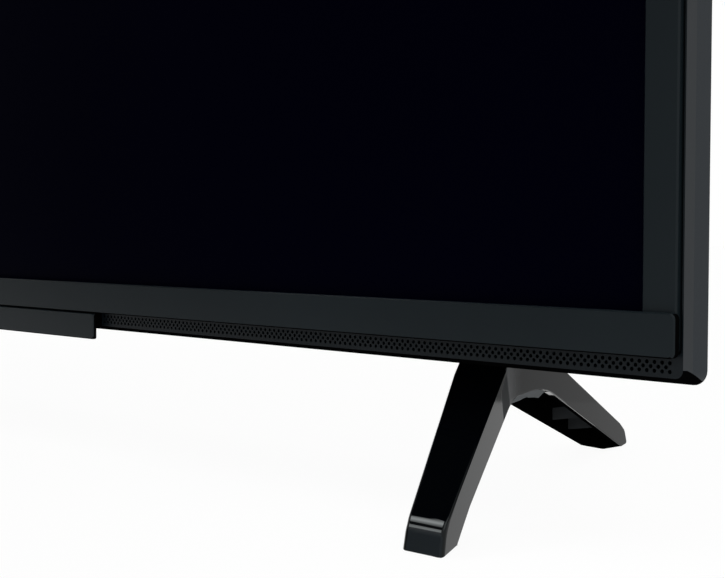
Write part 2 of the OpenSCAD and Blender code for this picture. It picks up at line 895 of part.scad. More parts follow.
// Main processor under its heat sink
module main_chip() {
    color("#141416")
    placed()
        box([chip_x - 12, board_back, chip_z - 12], [chip_x + 12, board_back + chip_t, chip_z + 12]);
}

// Extruded heat sink: base plate and upright fins
module heat_sink() {
    half = 18;
    fin_count = 9;
    fin_t = 1.4;
    fin_step = (2 * half - fin_t) / (fin_count - 1);
    base_y = board_back + chip_t;
    color("#a7abad")
    placed()
    union() {
        box([chip_x - half, base_y, chip_z - half], [chip_x + half, base_y + 3, chip_z + half]);
        for (i = [0:fin_count - 1])
            box([chip_x - half + i * fin_step, base_y + 2, chip_z - half],
                [chip_x - half + i * fin_step + fin_t, base_y + 13, chip_z + half]);
    }
}

// Screened tuner on the main board
module tuner_can() {
    color("#c2c5c7")
    placed()
        box([main_x1 - 28, board_back, board_z0 + 32],
            [main_x1 - 13, board_back + 9, board_z0 + 60]);
}

// Mains transformer: split core round a wound bobbin
module transformer() {
    x = power_x0 + 42;
    z = board_z0 + 88;
    color("#55504a")
    placed()
    union() {
        box([x - 17, board_back, z - 14], [x + 17, board_back + 5, z + 14]);
        box([x - 17, board_back + 19, z - 14], [x + 17, board_back + 24, z + 14]);
        for (side = [-1, 1])
            box([x + side * 14.5 - 2.5, board_back + 4, z - 14],
                [x + side * 14.5 + 2.5, board_back + 20, z + 14]);
        rod(x, board_back + 4, board_back + 20, z, 9.5);
    }
}

module bulk_capacitor() {
    color("#2c3b6b")
    placed()
        rod(power_x0 + 96, board_back, board_back + 30, board_z0 + 82, 11);
}

// Upright plate that cools the switching transistors
module switch_sink() {
    x0 = power_x0 + 18;
    z = board_z0 + 52;
    color("#a3a7a9")
    placed()
    union() {
        box([x0, board_back, z], [x0 + 58, board_back + 22, z + 2.5]);
        box([x0, board_back + 19.5, z], [x0 + 58, board_back + 22, z + 12]);
    }
}

// Standing capacitors on both boards
module small_capacitors() {
    color("#23262b")
    placed()
    for (c = capacitor_spots)
        rod(c[0], board_back, board_back + 12, board_z0 + c[1], 4.2);
}

// Flat lead from x0 at depth y0 to x1 at depth y1, arched up to depth top
module flat_lead(x0, y0, x1, y1, top, t, z0, z1) {
    side = sign(x0 - x1);
    translate([0, 0, z0])
        linear_extrude(z1 - z0)
            polygon([[x0, y0], [x0, top], [x1, top], [x1, y1], [x1 + side * t, y1],
                [x1 + side * t, top - t], [x0 - side * t, top - t], [x0 - side * t, y0]]);
}

// Ribbon from the panel board to the main board
module panel_ribbon() {
    color("#d8d4c8")
    placed()
        flat_lead(panel_board_x[0] + 6, panel_board_y + 1.2, main_x1 - 2, board_back,
            board_back + 5, 0.5, panel_board_z[0] + 2, panel_board_z[1] - 2);
}

// Harness from the power board to the main board
module power_harness() {
    color("#c9c4b4")
    placed()
        flat_lead(power_x0 + 8, board_back, main_x1 - 8, board_back, board_back + 6, 1.6,
            board_z0 + 97, board_z0 + 111);
}

// Leads from the main board to the two speakers
module speaker_leads() {
    y = board_back + lead_rise;
    low = speaker_top + lead_rise;
    high = board_z0 + power_h + 18;
    left = -speaker_x + 22;
    right = speaker_x - 14;
    plug_left = [main_x0 + 4, board_back, board_z0 + 44];
    plug_right = [main_x1 - 23, board_back, board_z0 + main_h - 4];
    off = [0, lead_rise, 0];
    color("#3a3a3c")
    placed() {
        wire([[left, speaker_yc, speaker_top], [left, speaker_yc, low], [main_x0 - 7, y, low + 30],
            plug_left + off, plug_left], lead_r);
        wire([[right, speaker_yc, speaker_top], [right, speaker_yc, low], [right + 5, y, low + 40],
            [right + 5, y, high], [main_x1 + 2, y, high], plug_right + off, plug_right], lead_r);
    }
}

// Lead from the control board up to the main board
module control_lead() {
    x = recess_x1 + wall + 6;
    y = tray_back + 3;
    start = [-20, button_y + 4, board_shelf + control_t];
    plug = [main_x1 - 3.5, board_back, board_z0 + 2.5];
    color("#3d3d40")
    placed()
        wire([start, [start[0], start[1], block_z1 + 4], [x, y, cab_z0 + 22], [x, y, recess_roof - 4],
            [x, board_back + lead_rise, recess_roof + 6], plug + [0, lead_rise, 0], plug], lead_r);
}

// Closed speaker box with a round opening in its underside
module speaker_box() {
    x0 = speaker_x - speaker_w / 2;
    skin = 2;
    difference() {
        box([x0, speaker_y, speaker_z], [x0 + speaker_w, speaker_y + speaker_d, speaker_top]);
        box([x0 + skin, speaker_y + skin, speaker_z + skin],
            [x0 + speaker_w - skin, speaker_y + speaker_d - skin, speaker_top - skin]);
        translate([speaker_x, speaker_yc, speaker_z - cut])
            cylinder(h = skin + 2 * cut, r = driver_r - 0.5);
    }
}

module speaker_right() {
    color("#1e1f21")
    placed()
        speaker_box();
}

module speaker_left() {
    color("#1e1f21")
    placed()
    mirror([1, 0, 0])
        speaker_box();
}

// Loudspeaker units: flange, cone and magnet in one turned form, facing down
module speaker_drivers() {
    color("#3b3c3e")
    placed()
    both_sides()
        translate([speaker_x, speaker_yc, speaker_z + 2])
            rotate_extrude()
                polygon([[0, 7], [4, 7], [driver_r - 1.5, 0], [driver_r + 1.5, 0], [driver_r + 1.5, 1.5],
                    [driver_r, 1.5], [9, 9], [9, 18], [0, 18]]);
}

// Foam rings that seal the speakers to the cover's floor
module speaker_gaskets() {
    color("#19191a")
    placed()
    both_sides()
        translate([speaker_x, speaker_yc, cab_z0 + wall])
            difference() {
                cylinder(h = gasket_h, r = driver_r + 3.2);
                translate([0, 0, -cut])
                    cylinder(h = gasket_h + 2 * cut, r = driver_r + 1);
            }
}

// Socket body against the main board, mouth down at the recess roof
module socket_body(x, w, d, h) {
    box([x - w / 2, board_back, recess_roof], [x + w / 2, board_back + d, recess_roof + h]);
}

module lan_socket() {
    color("#b4b8bb")
    placed()
    difference() {
        socket_body(lan_x, lan_size[0], lan_size[1], 21);
        box([lan_x - 5.9, board_back + 2.2, recess_roof - cut],
            [lan_x + 5.9, board_back + 9, recess_roof + 13]);
        box([lan_x - 3.2, board_back + 8, recess_roof - cut],
            [lan_x + 3.2, board_back + 11.6, recess_roof + 13]);
    }
}

module usb_socket() {
    color("#bcc0c2")
    placed()
    union() {
        difference() {
            socket_body(usb_x, usb_size[0], usb_size[1], 14);
            box([usb_x - 6.25, board_back + 1, recess_roof - cut],
                [usb_x + 6.25, board_back + 6, recess_roof + 11]);
        }
        box([usb_x - 5.6, board_back + 3.6, recess_roof + 1.5],
            [usb_x + 5.6, board_back + 5.4, recess_roof + 12]);
    }
}

// Pair of display sockets with chamfered mouths and a tongue each
module hdmi_sockets() {
    color("#c0c3c5")
    placed()
    for (i = [0, 1])
        translate([hdmi_x + i * hdmi_pitch, board_back, recess_roof])
            union() {
                difference() {
                    box([-hdmi_size[0] / 2, 0, 0], [hdmi_size[0] / 2, hdmi_size[1], 12]);
                    translate([0, 0, -cut])
                        linear_extrude(9 + cut)
                            polygon([[-7, 5.1], [7, 5.1], [7, 2.3], [5.4, 0.6], [-5.4, 0.6], [-7, 2.3]]);
                }
                box([-5, 2.4, 1], [5, 3.6, 10]);
            }
}

module headphone_jack() {
    color("#26282a")
    placed()
    difference() {
        socket_body(jack_x, jack_size[0], jack_size[1], 14);
        translate([jack_x, board_back + jack_size[1] / 2, recess_roof - cut])
            cylinder(h = 12 + cut, d = jack_bore);
    }
}

// Aerial socket: screened foot and a bored barrel that hangs into the recess
module aerial_socket() {
    color("#c9ccce")
    placed()
    difference() {
        union() {
            socket_body(aerial_x, aerial_size[0], aerial_size[1], 14);
            translate([aerial_x, board_back + aerial_size[1] / 2, recess_roof - aerial_l])
                cylinder(h = aerial_l + cut, r = aerial_r);
        }
        translate([aerial_x, board_back + aerial_size[1] / 2, recess_roof - aerial_l - cut])
            cylinder(h = 9 + cut, r = 1.3);
    }
}

// Two-pin mains inlet with a figure-eight mouth
module mains_inlet() {
    yc = board_back + inlet_h / 2;
    lobe = 4.3;
    lobe_x = 3.4;
    color("#1d1d1f")
    placed()
    union() {
        difference() {
            socket_body(inlet_x, inlet_w, inlet_h, 16);
            translate([inlet_x, yc, recess_roof - cut])
                linear_extrude(11 + cut)
                    union() {
                        for (side = [-1, 1])
                            translate([side * lobe_x, 0])
                                circle(r = lobe);
                        square([2 * lobe_x, 2 * lobe - 1.2], center = true);
                    }
        }
        for (side = [-1, 1])
            translate([inlet_x + side * 4.3, yc, recess_roof + 1.5])
                cylinder(h = 11, r = 1.2);
    }
}

// Steel columns from the tray to the cover's back, threaded for a wall bracket
module mount_columns() {
    color("#8d9194")
    placed()
    for (x = [-1, 1])
        for (z = [-1, 1])
            difference() {
                rod(x * mount_pitch / 2, tray_back, deep_d - 0.5, mount_z + z * mount_pitch / 2,
                    column_r);
                rod(x * mount_pitch / 2, deep_d - 20, deep_d + cut, mount_z + z * mount_pitch / 2,
                    mount_bore / 2);
            }
}

// Outlines of the rear cover's deep part at its root and at its back face, inset by m
function deep_root(m) = outline(cab_xh - deep_foot_in - m, cab_z0 + m,
    cab_z0 + deep_h + deep_top_slope - m, deep_r - m);
function deep_face(m) = outline(cab_xh - deep_in - m, cab_z0 + m, cab_z0 + deep_h - m, deep_r - m);
function thin_face(m) = outline(cab_xh - thin_in - m, cab_z0 + thin_in + m, cab_z1 - thin_in - m,
    deep_r - m);

// Cable recess from x0 to x1, open to the back and below
module recess_walls(x0, x1) {
    box([x0 - wall, recess_y - wall, cab_z0 + 0.5], [x1 + wall, deep_d - 0.5, recess_roof + wall]);
}

module recess_space(x0, x1) {
    box([x0, recess_y, cab_z0 - cut], [x1, deep_d + cut, recess_roof]);
}

// Moulded back: flared edge, thin upper part, deep lower part with recesses, vents and bosses
module rear_cover() {
    lap_d = web_y + web_t + tongue_d + 0.5;
    vent_pitch = 9;
    vent_z = cab_z0 + deep_h - vent_drop;
    slot_pitch = 6;
    color("#17181a")
    placed()
    difference() {
        union() {
            difference() {
                union() {
                    loft(flare_outline(lip_grow), lip_d, flare_outline(flare), flare_d);
                    loft(flare_outline(flare), flare_d, thin_face(0), thin_d);
                    loft(deep_root(0), flare_d, deep_face(0), deep_d);
                }
                slab(outline(open_xh + 0.5, rim_z0 - fit, open_z1 + 0.5, rim_r), lip_d - cut, lap_d);
                loft(outline(cab_xh - wall, cab_z0 + wall, cab_z1 - wall, rim_r), lap_d - 0.1,
                    thin_face(wall), thin_d - wall);
                loft(deep_root(wall), flare_d - 1, deep_face(wall), deep_d - wall);
            }
            recess_walls(recess_x0, recess_x1);
            recess_walls(inlet_x0, inlet_x1);
            both_sides()
                at_foot()
                    for (s = foot_screw_s)
                        translate([foot_screw_n, s, cab_z0 + 0.5])
                            cylinder(h = foot_boss_h, r = foot_boss_r);
        }
        recess_space(recess_x0, recess_x1);
        recess_space(inlet_x0, inlet_x1);
        for (s = socket_spots)
            box([s[0] - s[1][0] / 2 - socket_gap, board_back - socket_gap, recess_roof - cut],
                [s[0] + s[1][0] / 2 + socket_gap, board_back + s[1][1] + socket_gap,
                    recess_roof + wall + cut]);
        for (i = [0:vents - 1])
            translate([(i - (vents - 1) / 2) * vent_pitch - vent_w / 2, deep_d - wall - cut,
                vent_z - vent_h])
                cube([vent_w, wall + 2 * cut, vent_h]);
        for (x = [-1, 1])
            for (z = [-1, 1])
                rod(x * mount_pitch / 2, deep_d - wall - cut, deep_d + cut,
                    mount_z + z * mount_pitch / 2, column_r + 0.3);
        for (s = cover_screw_spots)
            rod(s[0], s[2] - wall - cut, s[2] + cut, s[1], cover_screw_r + 0.3);
        both_sides() {
            at_foot()
                for (s = foot_screw_s)
                    translate([foot_screw_n, s, cab_z0 - cut])
                        cylinder(h = foot_boss_h - 1, r = foot_screw_r + screw_gap);
            for (i = [-2:2])
                translate([speaker_x + i * slot_pitch - 1.25, speaker_yc - 11, cab_z0 - cut])
                    cube([2.5, 22, wall + 2 * cut]);
        }
        block_notch(fit);
    }
}

// Pan-head screws through the cover into the tray's bosses
module cover_screws() {
    color("#2e3032")
    placed()
    for (s = cover_screw_spots) {
        rod(s[0], s[2] - wall - 3.2, s[2] + 0.5, s[1], cover_screw_r);
        rod(s[0], s[2], s[2] + 1.8, s[1], 3.4);
    }
}

// Screws that hold both boards on the tray's bosses
module board_screws() {
    color("#9a9ea0")
    placed()
    for (h = all_board_holes) {
        rod(h[0], board_y - 4, board_back + 0.5, h[1], board_screw_r);
        rod(h[0], board_back, board_back + 1.6, h[1], 2.8);
    }
}

// Foot's own place: Y runs from the toe to the tail, X across
module at_foot() {
    translate([foot_x, -toe_reach, 0])
        rotate([0, 0, foot_yaw])
            children();
}

// Heights of the foot's edges at length s, and lengths of the front leg's edges at height z
function tail_top(s) = cab_z0 - (s - seat_s1) * tail_fall;
function tail_low(s) = pad_proud + (tail_sole - s) * tail_under;
function inner_low(s) = pad_proud + (inner_sole - s) * inner_under;
function leg_front(z) = toe_lean + (z - toe_h) / leg_rise;
function leg_back(z) = leg_front(z) + leg_shift - leg_taper * (arch_z - z);

// Width of the foot at length s behind the seat
function tail_width(s) = seat_w - (s - seat_s1) / (tail_s - seat_s1) * (seat_w - tail_w);

// Plan of the foot: its inner edge, and the whole plan, drawn in by m
function inner_edge(m) = [
    [m - tail_w, foot_l + cut],
    [m - tail_w, tail_s],
    [m - seat_w, seat_s1],
    [m - seat_w, seat_s0],
    [m - toe_w, toe_skew],
    [m - toe_w, -toe_out - cut]];
function foot_plan(m) = concat([[-m, -toe_out - cut], [-m, foot_l + cut]], inner_edge(m));

// Upright column over a plan
module foot_column(plan) {
    translate([0, 0, -cut])
        linear_extrude(cab_z0 + cut)
            polygon(plan);
}

// Body with a side view in s and z, wider than the foot; the second one runs askew
module foot_prism(points) {
    translate([-2 * seat_w, 0, 0])
        rotate([90, 0, 90])
            linear_extrude(3 * seat_w)
                polygon(points);
}

module leg_prism(points) {
    rotate([0, 0, -leg_skew])
        translate([-seat_s1, 0, 0])
            rotate([90, 0, 90])
                linear_extrude(2 * seat_s1)
                    polygon([for (p = points) [p[0] * cos(leg_skew), p[1]]]);
}

// Wedge that spreads the front toe inwards, down to the floor
module toe_wedge() {
    reach = leg_back(toe_h);
    translate([0, reach, 0])
        rotate([90, 0, 0])
            linear_extrude(reach + toe_out + cut)
                polygon([[-toe_w, toe_h], [-toe_w - toe_spread, pad_proud], [-toe_w - toe_spread, -cut],
                    [-toe_w / 2, -cut], [-toe_w / 2, toe_h]]);
}

// Underside of the arch, which slants down to the inner side
module arch_wedge() {
    rim = foot_wall / 2;
    translate([0, void_s[0] + cut, 0])
        rotate([90, 0, 0])
            linear_extrude(void_s[0] + cut - inner_leg)
                polygon([[-rim, arch_z + 0.5], [-seat_w, inner_arch], [-seat_w - cut, inner_arch],
                    [-seat_w - cut, arch_z + 3], [-rim, arch_z + 3]]);
}

// Outer body: legs and arch trimmed to the plan, with the toe's wedge and the inner wall's lower part
module foot_body() {
    edge = inner_edge(foot_wall);
    intersection() {
        union() {
            leg_prism(round_path(leg_side));
            foot_prism(round_path(tail_side));
            arch_wedge();
        }
        foot_column(foot_plan(0));
    }
    intersection() {
        leg_prism(round_path(leg_side));
        toe_wedge();
    }
    intersection() {
        foot_prism(round_path(inner_side));
        foot_column(concat(inner_edge(0), [for (i = [len(edge) - 1:-1:0]) edge[i]]));
    }
    translate([0, 0, pad_proud])
        linear_extrude(sole_top - pad_proud)
            polygon(sole_block);
}

// Cross wall of the rear leg at length s, its lower edge along the leg's slanting underside
module foot_rib(s, rib_t) {
    rib_in = 2.5;
    n = [foot_wall / 2, tail_width(s) - foot_wall / 2];
    top = tail_top(s) - tail_roof / 2;
    low = [rib_in + tail_low(s), rib_in + inner_low(s)];
    translate([0, s + rib_t / 2, 0])
        rotate([90, 0, 0])
            linear_extrude(rib_t)
                polygon([[-n[0], low[0]], [-n[0], top], [-n[1], top], [-n[1], low[1]]]);
}

// Moulded foot: hollow ribbed legs under a seat plate, with solid toes
module foot() {
    leg_z = [toe_h + 5, arch_z - 7];
    leg_skin = foot_wall * sqrt(1 + 1 / (leg_rise * leg_rise));
    placed()
    at_foot()
    difference() {
        union() {
            difference() {
                foot_body();
                intersection() {
                    union() {
                        foot_prism([[void_s[0], -cut], [void_s[0], seat_roof], [seat_s1, seat_roof],
                            [void_s[1], tail_top(void_s[1]) - tail_roof], [void_s[1], -cut]]);
                        leg_prism([[leg_front(leg_z[0]) + leg_skin, leg_z[0]],
                            [leg_front(leg_z[1]) + leg_skin, leg_z[1]],
                            [leg_back(leg_z[1]) + 4, leg_z[1]], [leg_back(leg_z[0]) + 4, leg_z[0]]]);
                    }
                    foot_column(foot_plan(foot_wall));
                }
            }
            for (i = [1:tail_ribs])
                foot_rib(seat_s1 + (void_s[1] - seat_s1) * i / (tail_ribs + 1), 1.6);
        }
        for (s = foot_screw_s)
            translate([foot_screw_n, s, inner_arch - cut]) {
                cylinder(h = seat_roof - inner_arch + cut, r = foot_head_r + 0.6);
                cylinder(h = cab_z0 - inner_arch + 2 * cut, r = foot_screw_r + 0.4);
            }
        for (p = pad_spots)
            translate([p[0], p[1], toe_edge - cut])
                linear_extrude(cut + p[4] - toe_edge)
                    square([p[2] + 2 * screw_gap, p[3] + 2 * screw_gap], center = true);
    }
}

module foot_right() {
    color("#0c0c0d")
        foot();
}

module foot_left() {
    color("#0c0c0d")
        mirror([1, 0, 0])
            foot();
}

// Screws up through each seat into the rear cover's bosses
module foot_screws() {
    color("#8b8f92")
    placed()
    both_sides()
        at_foot()
            for (s = foot_screw_s)
                translate([foot_screw_n, s, seat_roof - foot_head_t]) {
                    cylinder(h = foot_head_t, r = foot_head_r);
                    cylinder(h = foot_head_t + foot_screw_l, r = foot_screw_r);
                }
}

// Rubber pads let into the toes
module foot_pads() {
    color("#1a1a1a")
    placed()
    both_sides()
        at_foot()
            for (p = pad_spots)
                translate([p[0], p[1], 0])
                    linear_extrude(p[4])
                        square([p[2], p[3]], center = true);
}

front_frame();
grille_left();
grille_right();
bezel_ring();
lower_bar();
control_block();
ir_lens();
power_button();
switch_plunger();
tact_switch();
control_board();
ir_receiver();
cell_gasket();
lcd_cell();
panel_frame();
optical_films();
diffuser_plate();
support_pins();
led_bars();
led_lenses();
reflector_sheet();
back_tray();
panel_board();
main_board();
power_board();
main_chip();
heat_sink();
tuner_can();
transformer();
bulk_capacitor();
switch_sink();
small_capacitors();
panel_ribbon();
power_harness();
speaker_leads();
control_lead();
speaker_left();
speaker_right();
speaker_drivers();
speaker_gaskets();
lan_socket();
usb_socket();
hdmi_sockets();
headphone_jack();
aerial_socket();
mains_inlet();
mount_columns();
rear_cover();
cover_screws();
board_screws();
foot_left();
foot_right();
foot_screws();
foot_pads();
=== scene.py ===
# %% [markdown]
# A flat screen television, seen close at its lower right corner.
# The imported model is the fixed frame: every solid of the set is already in its place, in
# metres. This file gives the solids their finishes, rounds the edges that catch the light, adds
# what is too fine for the solids, and lights and frames the picture.

# %% Load the imported set
import json
import math

import bmesh
import bpy
from mathutils import Matrix, Quaternion, Vector


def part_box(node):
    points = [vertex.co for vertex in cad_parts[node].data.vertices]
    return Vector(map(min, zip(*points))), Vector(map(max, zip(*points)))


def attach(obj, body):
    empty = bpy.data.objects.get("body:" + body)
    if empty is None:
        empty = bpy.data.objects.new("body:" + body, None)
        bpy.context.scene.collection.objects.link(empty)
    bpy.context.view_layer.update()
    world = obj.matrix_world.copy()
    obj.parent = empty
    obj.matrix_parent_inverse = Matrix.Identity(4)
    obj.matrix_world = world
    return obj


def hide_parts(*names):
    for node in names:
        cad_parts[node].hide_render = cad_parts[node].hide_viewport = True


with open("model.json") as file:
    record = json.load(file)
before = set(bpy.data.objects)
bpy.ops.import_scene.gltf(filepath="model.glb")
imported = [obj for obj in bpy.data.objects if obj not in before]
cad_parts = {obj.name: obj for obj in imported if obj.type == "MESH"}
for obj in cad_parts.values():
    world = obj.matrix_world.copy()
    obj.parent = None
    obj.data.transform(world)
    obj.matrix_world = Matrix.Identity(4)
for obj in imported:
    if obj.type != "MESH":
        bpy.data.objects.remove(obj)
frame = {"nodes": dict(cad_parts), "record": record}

nodes = frame["nodes"]
slot_of = {row["node"]: row["material_slot"] for row in frame["record"]["subparts"]}
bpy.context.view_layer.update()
MM = 0.001
print("pieces in the packed set:", len(nodes))

# %% [markdown]
# The camera stands a little above the stand's feet, to the right of the set, and looks along its
# front. Its place and its lens were worked out from the straight edges of the cabinet, so the
# picture falls on the photograph with no shift of the lens. The front edge of the frame is the
# plane from which the distances are counted.

# %% Camera
PICTURE = (725, 578)
FOCAL_PIXELS = 1298.0
SENSOR = 36.0
front_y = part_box("front_frame")[0].y
edge_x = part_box("rear_cover")[1].x
EYE_ASIDE = 187.0 * MM
EYE_BEFORE = 319.75 * MM
EYE_HIGH = 98.0 * MM
EYE = Vector((edge_x + EYE_ASIDE, front_y - EYE_BEFORE, EYE_HIGH))
TURN = math.radians(44.58)
DIP = math.radians(2.69)

bpy.ops.object.camera_add(location=EYE, rotation=(math.pi / 2 - DIP, 0.0, TURN))
camera = bpy.context.object
camera.name = "eye"
camera.data.sensor_fit = "HORIZONTAL"
camera.data.sensor_width = SENSOR
camera.data.lens = SENSOR * FOCAL_PIXELS / PICTURE[0]
camera.data.clip_start = 20 * MM
scene = bpy.context.scene
scene.camera = camera
scene.view_settings.view_transform = "Standard"
print("lens in mm:", round(camera.data.lens, 2))

# %% [markdown]
# Shader maths reads best as plain arithmetic. One small class wraps the output of a node, so that
# two of them can be added or multiplied, with a number on either side. Any other node comes from
# its add method, which sets the node up first and then fills or links its sockets. Light Path
# tells a ray that sees a surface from one that only gathers light, for the world and the floor.


# %% Shader arithmetic
class Signal:
    """One output socket of a shader tree that takes part in Python expressions."""

    def __init__(self, socket):
        self.socket = socket
        self.tree = socket.id_data

    @staticmethod
    def plug(tree, socket, value):
        """Link a signal to a socket, or write a plain value on it."""
        if isinstance(value, Signal):
            tree.links.new(value.socket, socket)
        else:
            socket.default_value = value

    @classmethod
    def make(cls, tree, kind, settings=None, sockets=None, out=0):
        """Add a node of any type: settings first, then its sockets."""
        node = tree.nodes.new(kind)
        for name, value in (settings or {}).items():
            setattr(node, name, value)
        for name, value in (sockets or {}).items():
            cls.plug(tree, node.inputs[name], value)
        return cls(node.outputs[out])

    def add(self, kind, settings=None, sockets=None, out=0):
        return Signal.make(self.tree, kind, settings, sockets, out)

    def math(self, operation, first, second=0.0):
        return self.add("ShaderNodeMath", {"operation": operation}, {0: first, 1: second})

    def __add__(self, other):
        return self.math("ADD", self, other)

    __radd__ = __add__

    def __mul__(self, other):
        return self.math("MULTIPLY", self, other)

    __rmul__ = __mul__

    def __sub__(self, other):
        return self.math("SUBTRACT", self, other)

    def __rsub__(self, other):
        return self.math("SUBTRACT", other, self)

    def __gt__(self, other):
        return self.math("GREATER_THAN", self, other)

    def most(self, other):
        return self.math("MAXIMUM", self, other)


def seen_directly(tree):
    """One for rays from the camera, a mirror or glass, and zero for rays that gather light."""
    ray = Signal.make(tree, "ShaderNodeLightPath")
    seen = ray.most(Signal(ray.socket.node.outputs["Is Glossy Ray"]))
    return seen.most(Signal(ray.socket.node.outputs["Is Transmission Ray"]))


print("shader arithmetic is ready")

# %% [markdown]
# The set stands on a white table in a white room. The world is white to the camera and in
# reflections, and a little lower where it lights matt surfaces, so black plastic keeps its depth.
# A picture of a real room could light the set too, but a plain white is what the photograph shows.

# %% World
world = bpy.data.worlds.new("white room")
scene.world = world
world.use_nodes = True
world.cycles.sampling_method = "NONE"
sky = world.node_tree
SKY_FILL = 0.85
WHITE = (1.0, 1.0, 1.0, 1.0)
strength = seen_directly(sky) * (1.0 - SKY_FILL) + SKY_FILL
Signal.plug(sky, sky.nodes["Background"].inputs["Color"], WHITE)
Signal.plug(sky, sky.nodes["Background"].inputs["Strength"], strength)
print("world fill:", SKY_FILL)

# %% [markdown]
# The floor is one wide sheet. Most of its light is its own white, so it has no horizon against
# the room, and the rest is a matt white that takes the soft shadow of the set. A curved backdrop
# would hide the horizon as well, but it would stand in the way of views from behind.

# %% Floor
FLOOR_HALF = 6.0
FLOOR_DROP = 0.2 * MM
FLOOR_OWN = 0.95
TABLE_WHITE = (0.95, 0.95, 0.95, 1.0)
bpy.ops.object.select_all(action="DESELECT")
bpy.ops.mesh.primitive_plane_add(size=2 * FLOOR_HALF, location=(0.0, 0.0, -FLOOR_DROP))
floor = bpy.context.object
floor.name = "floor"
bpy.ops.object.transform_apply(location=True, rotation=True, scale=True)
paint = bpy.data.materials.new("white table")
paint.use_nodes = True
tree = paint.node_tree
tree.nodes.remove(tree.nodes["Principled BSDF"])
matt = Signal.make(tree, "ShaderNodeBsdfDiffuse", None, {"Color": TABLE_WHITE})
glow = Signal.make(tree, "ShaderNodeEmission", None, {"Color": WHITE})
own = seen_directly(tree) * FLOOR_OWN
mixed = own.add("ShaderNodeMixShader", None, {0: own, 1: matt, 2: glow})
tree.links.new(mixed.socket, tree.nodes["Material Output"].inputs["Surface"])
floor.data.materials.append(paint)
print("floor half width in m:", FLOOR_HALF)

# %% [markdown]
# Glossy black is photographed with dark boards, called flags, which stand where the front would
# mirror the white room. One grey flag stands before the set to its left, a black one hangs over
# the feet, and two behind the set keep the rear legs from going pale: one stands, and one lies on
# the table as a painted shadow of the set there. The camera doesn't see them, and they cast no
# shadow.


# %% Flags
def flag(name, corner, along, up, radiance):
    """A dark board that only reflections see, from one corner and two sides."""
    bpy.ops.object.select_all(action="DESELECT")
    bpy.ops.mesh.primitive_plane_add(size=2.0)
    board = bpy.context.object
    board.name = name
    for vertex in board.data.vertices:
        right, high = vertex.co.x / 2 + 0.5, vertex.co.y / 2 + 0.5
        vertex.co = Vector(corner) + right * Vector(along) + high * Vector(up)
    felt = bpy.data.materials.new(name)
    felt.use_nodes = True
    tree = felt.node_tree
    tree.nodes.remove(tree.nodes["Principled BSDF"])
    shade = Signal.make(tree, "ShaderNodeEmission", None,
                        {"Color": (radiance, radiance, radiance, 1.0), "Strength": 1.0})
    tree.links.new(shade.socket, tree.nodes["Material Output"].inputs["Surface"])
    board.data.materials.append(felt)
    board.visible_camera = False
    board.visible_diffuse = False
    board.visible_shadow = False


# For each flag: its corner, counted in metres from the cabinet's front right edge, its two sides
# and its radiance.
FLAGS = {
    "grey flag": ((-2.0, -0.45, 0.0), (1.76, 0.0, 0.0), (0.0, 0.0, 0.72), 0.11),
    "back flag": ((-0.5, 0.32, 0.0), (0.6, 0.0, 0.0), (0.0, 0.0, 0.3), 0.29),
    # The low flag is a painted shadow of the set on the table, seen only in reflections.
    "low flag": ((-0.5, 0.15, 0.0004), (0.395, 0.0, 0.0), (0.0, 0.17, 0.0), 0.33),
    "black flag": ((-1.15, -0.48, 0.62), (1.0, 0.0, 0.0), (0.0, 0.5, 0.0), 0.004),
}
for name, ((aside, back, high), along, up, radiance) in FLAGS.items():
    flag(name, (edge_x + aside, front_y + back, high), along, up, radiance)
print("flags:", list(FLAGS))

# %% [markdown]
# A large soft lamp above and to the right gives the edges a direction. Two small strips are only
# there for the bend at the foot's toe, where the photograph shows two pale bands. Their light is
# kept in a narrow cone, so that they touch nothing else.


# %% Lamps
def soft_lamp(name, place, aim, width, height, watts, spread=180.0, roll=0.0):
    """A rectangular lamp at a place, facing a point, with its light kept in a cone."""
    bpy.ops.object.light_add(type="AREA", location=place)
    lamp = bpy.context.object
    lamp.name = name
    lamp.data.shape = "RECTANGLE"
    lamp.data.size = width
    lamp.data.size_y = height
    lamp.data.energy = watts
    lamp.data.spread = math.radians(spread)
    facing = (Vector(aim) - Vector(place)).to_track_quat("-Z", "Y")
    lamp.rotation_euler = (facing @ Quaternion((0.0, 0.0, 1.0), math.radians(roll))).to_euler()


TOP_PLACE = (edge_x + 0.7, -0.5, 1.5)
TOP_SIDE = 1.0
TOP_WATTS = 5.0
STRIP_AWAY = 0.44
STRIP_WIDE = 0.2
STRIP_CONE = 25.0
STRIP_ROLL = 22.0
# For each strip: its direction from the toe, its height and its power.
STRIPS = {"high strip": ((-0.592, -0.335, 0.733), 0.14, 0.0163),
          "low strip": ((-0.576, -0.652, 0.493), 0.08, 0.0067)}
lit_corner = Vector((edge_x - 0.035, front_y, 0.1))
lit_toe = Vector((edge_x - 0.069, front_y - 0.031, 0.008))
soft_lamp("top lamp", TOP_PLACE, lit_corner, TOP_SIDE, TOP_SIDE, TOP_WATTS)
for name, (way, height, watts) in STRIPS.items():
    soft_lamp(name, lit_toe + STRIP_AWAY * Vector(way), lit_toe, STRIP_WIDE, height, watts,
              STRIP_CONE, STRIP_ROLL)

# %% [markdown]
# Every finish starts from the shader that Blender calls Principled. Real moulded plastic is never
# one even colour: it has a fine spark-eroded grain, a faint cloudiness and a gloss that changes a
# little from place to place. These three come from noise on the object's own coordinates, at the
# size of the real grain, so they stay put in any view.


# %% Finish helpers
CLOUD_SIZE = 45 * MM
CLOUD_GLOSS = 0.05
GRAIN_GLOSS = 0.03
GRAIN_BUMP = 0.5
PATCH_SIZE = 30 * MM
PATCH_DARK, PATCH_LIGHT = 0.88, 1.06
LINE_GLOSS = 0.12
LINE_BUMP = 0.3
LINE_DEPTH = 0.01 * MM


def new_finish(name):
    """A material with its shader, and a signal of the object's own coordinates."""
    finish = bpy.data.materials.new(name)
    finish.use_nodes = True
    tree = finish.node_tree
    place = Signal.make(tree, "ShaderNodeTexCoord", out="Object")
    return finish, tree.nodes["Principled BSDF"], place


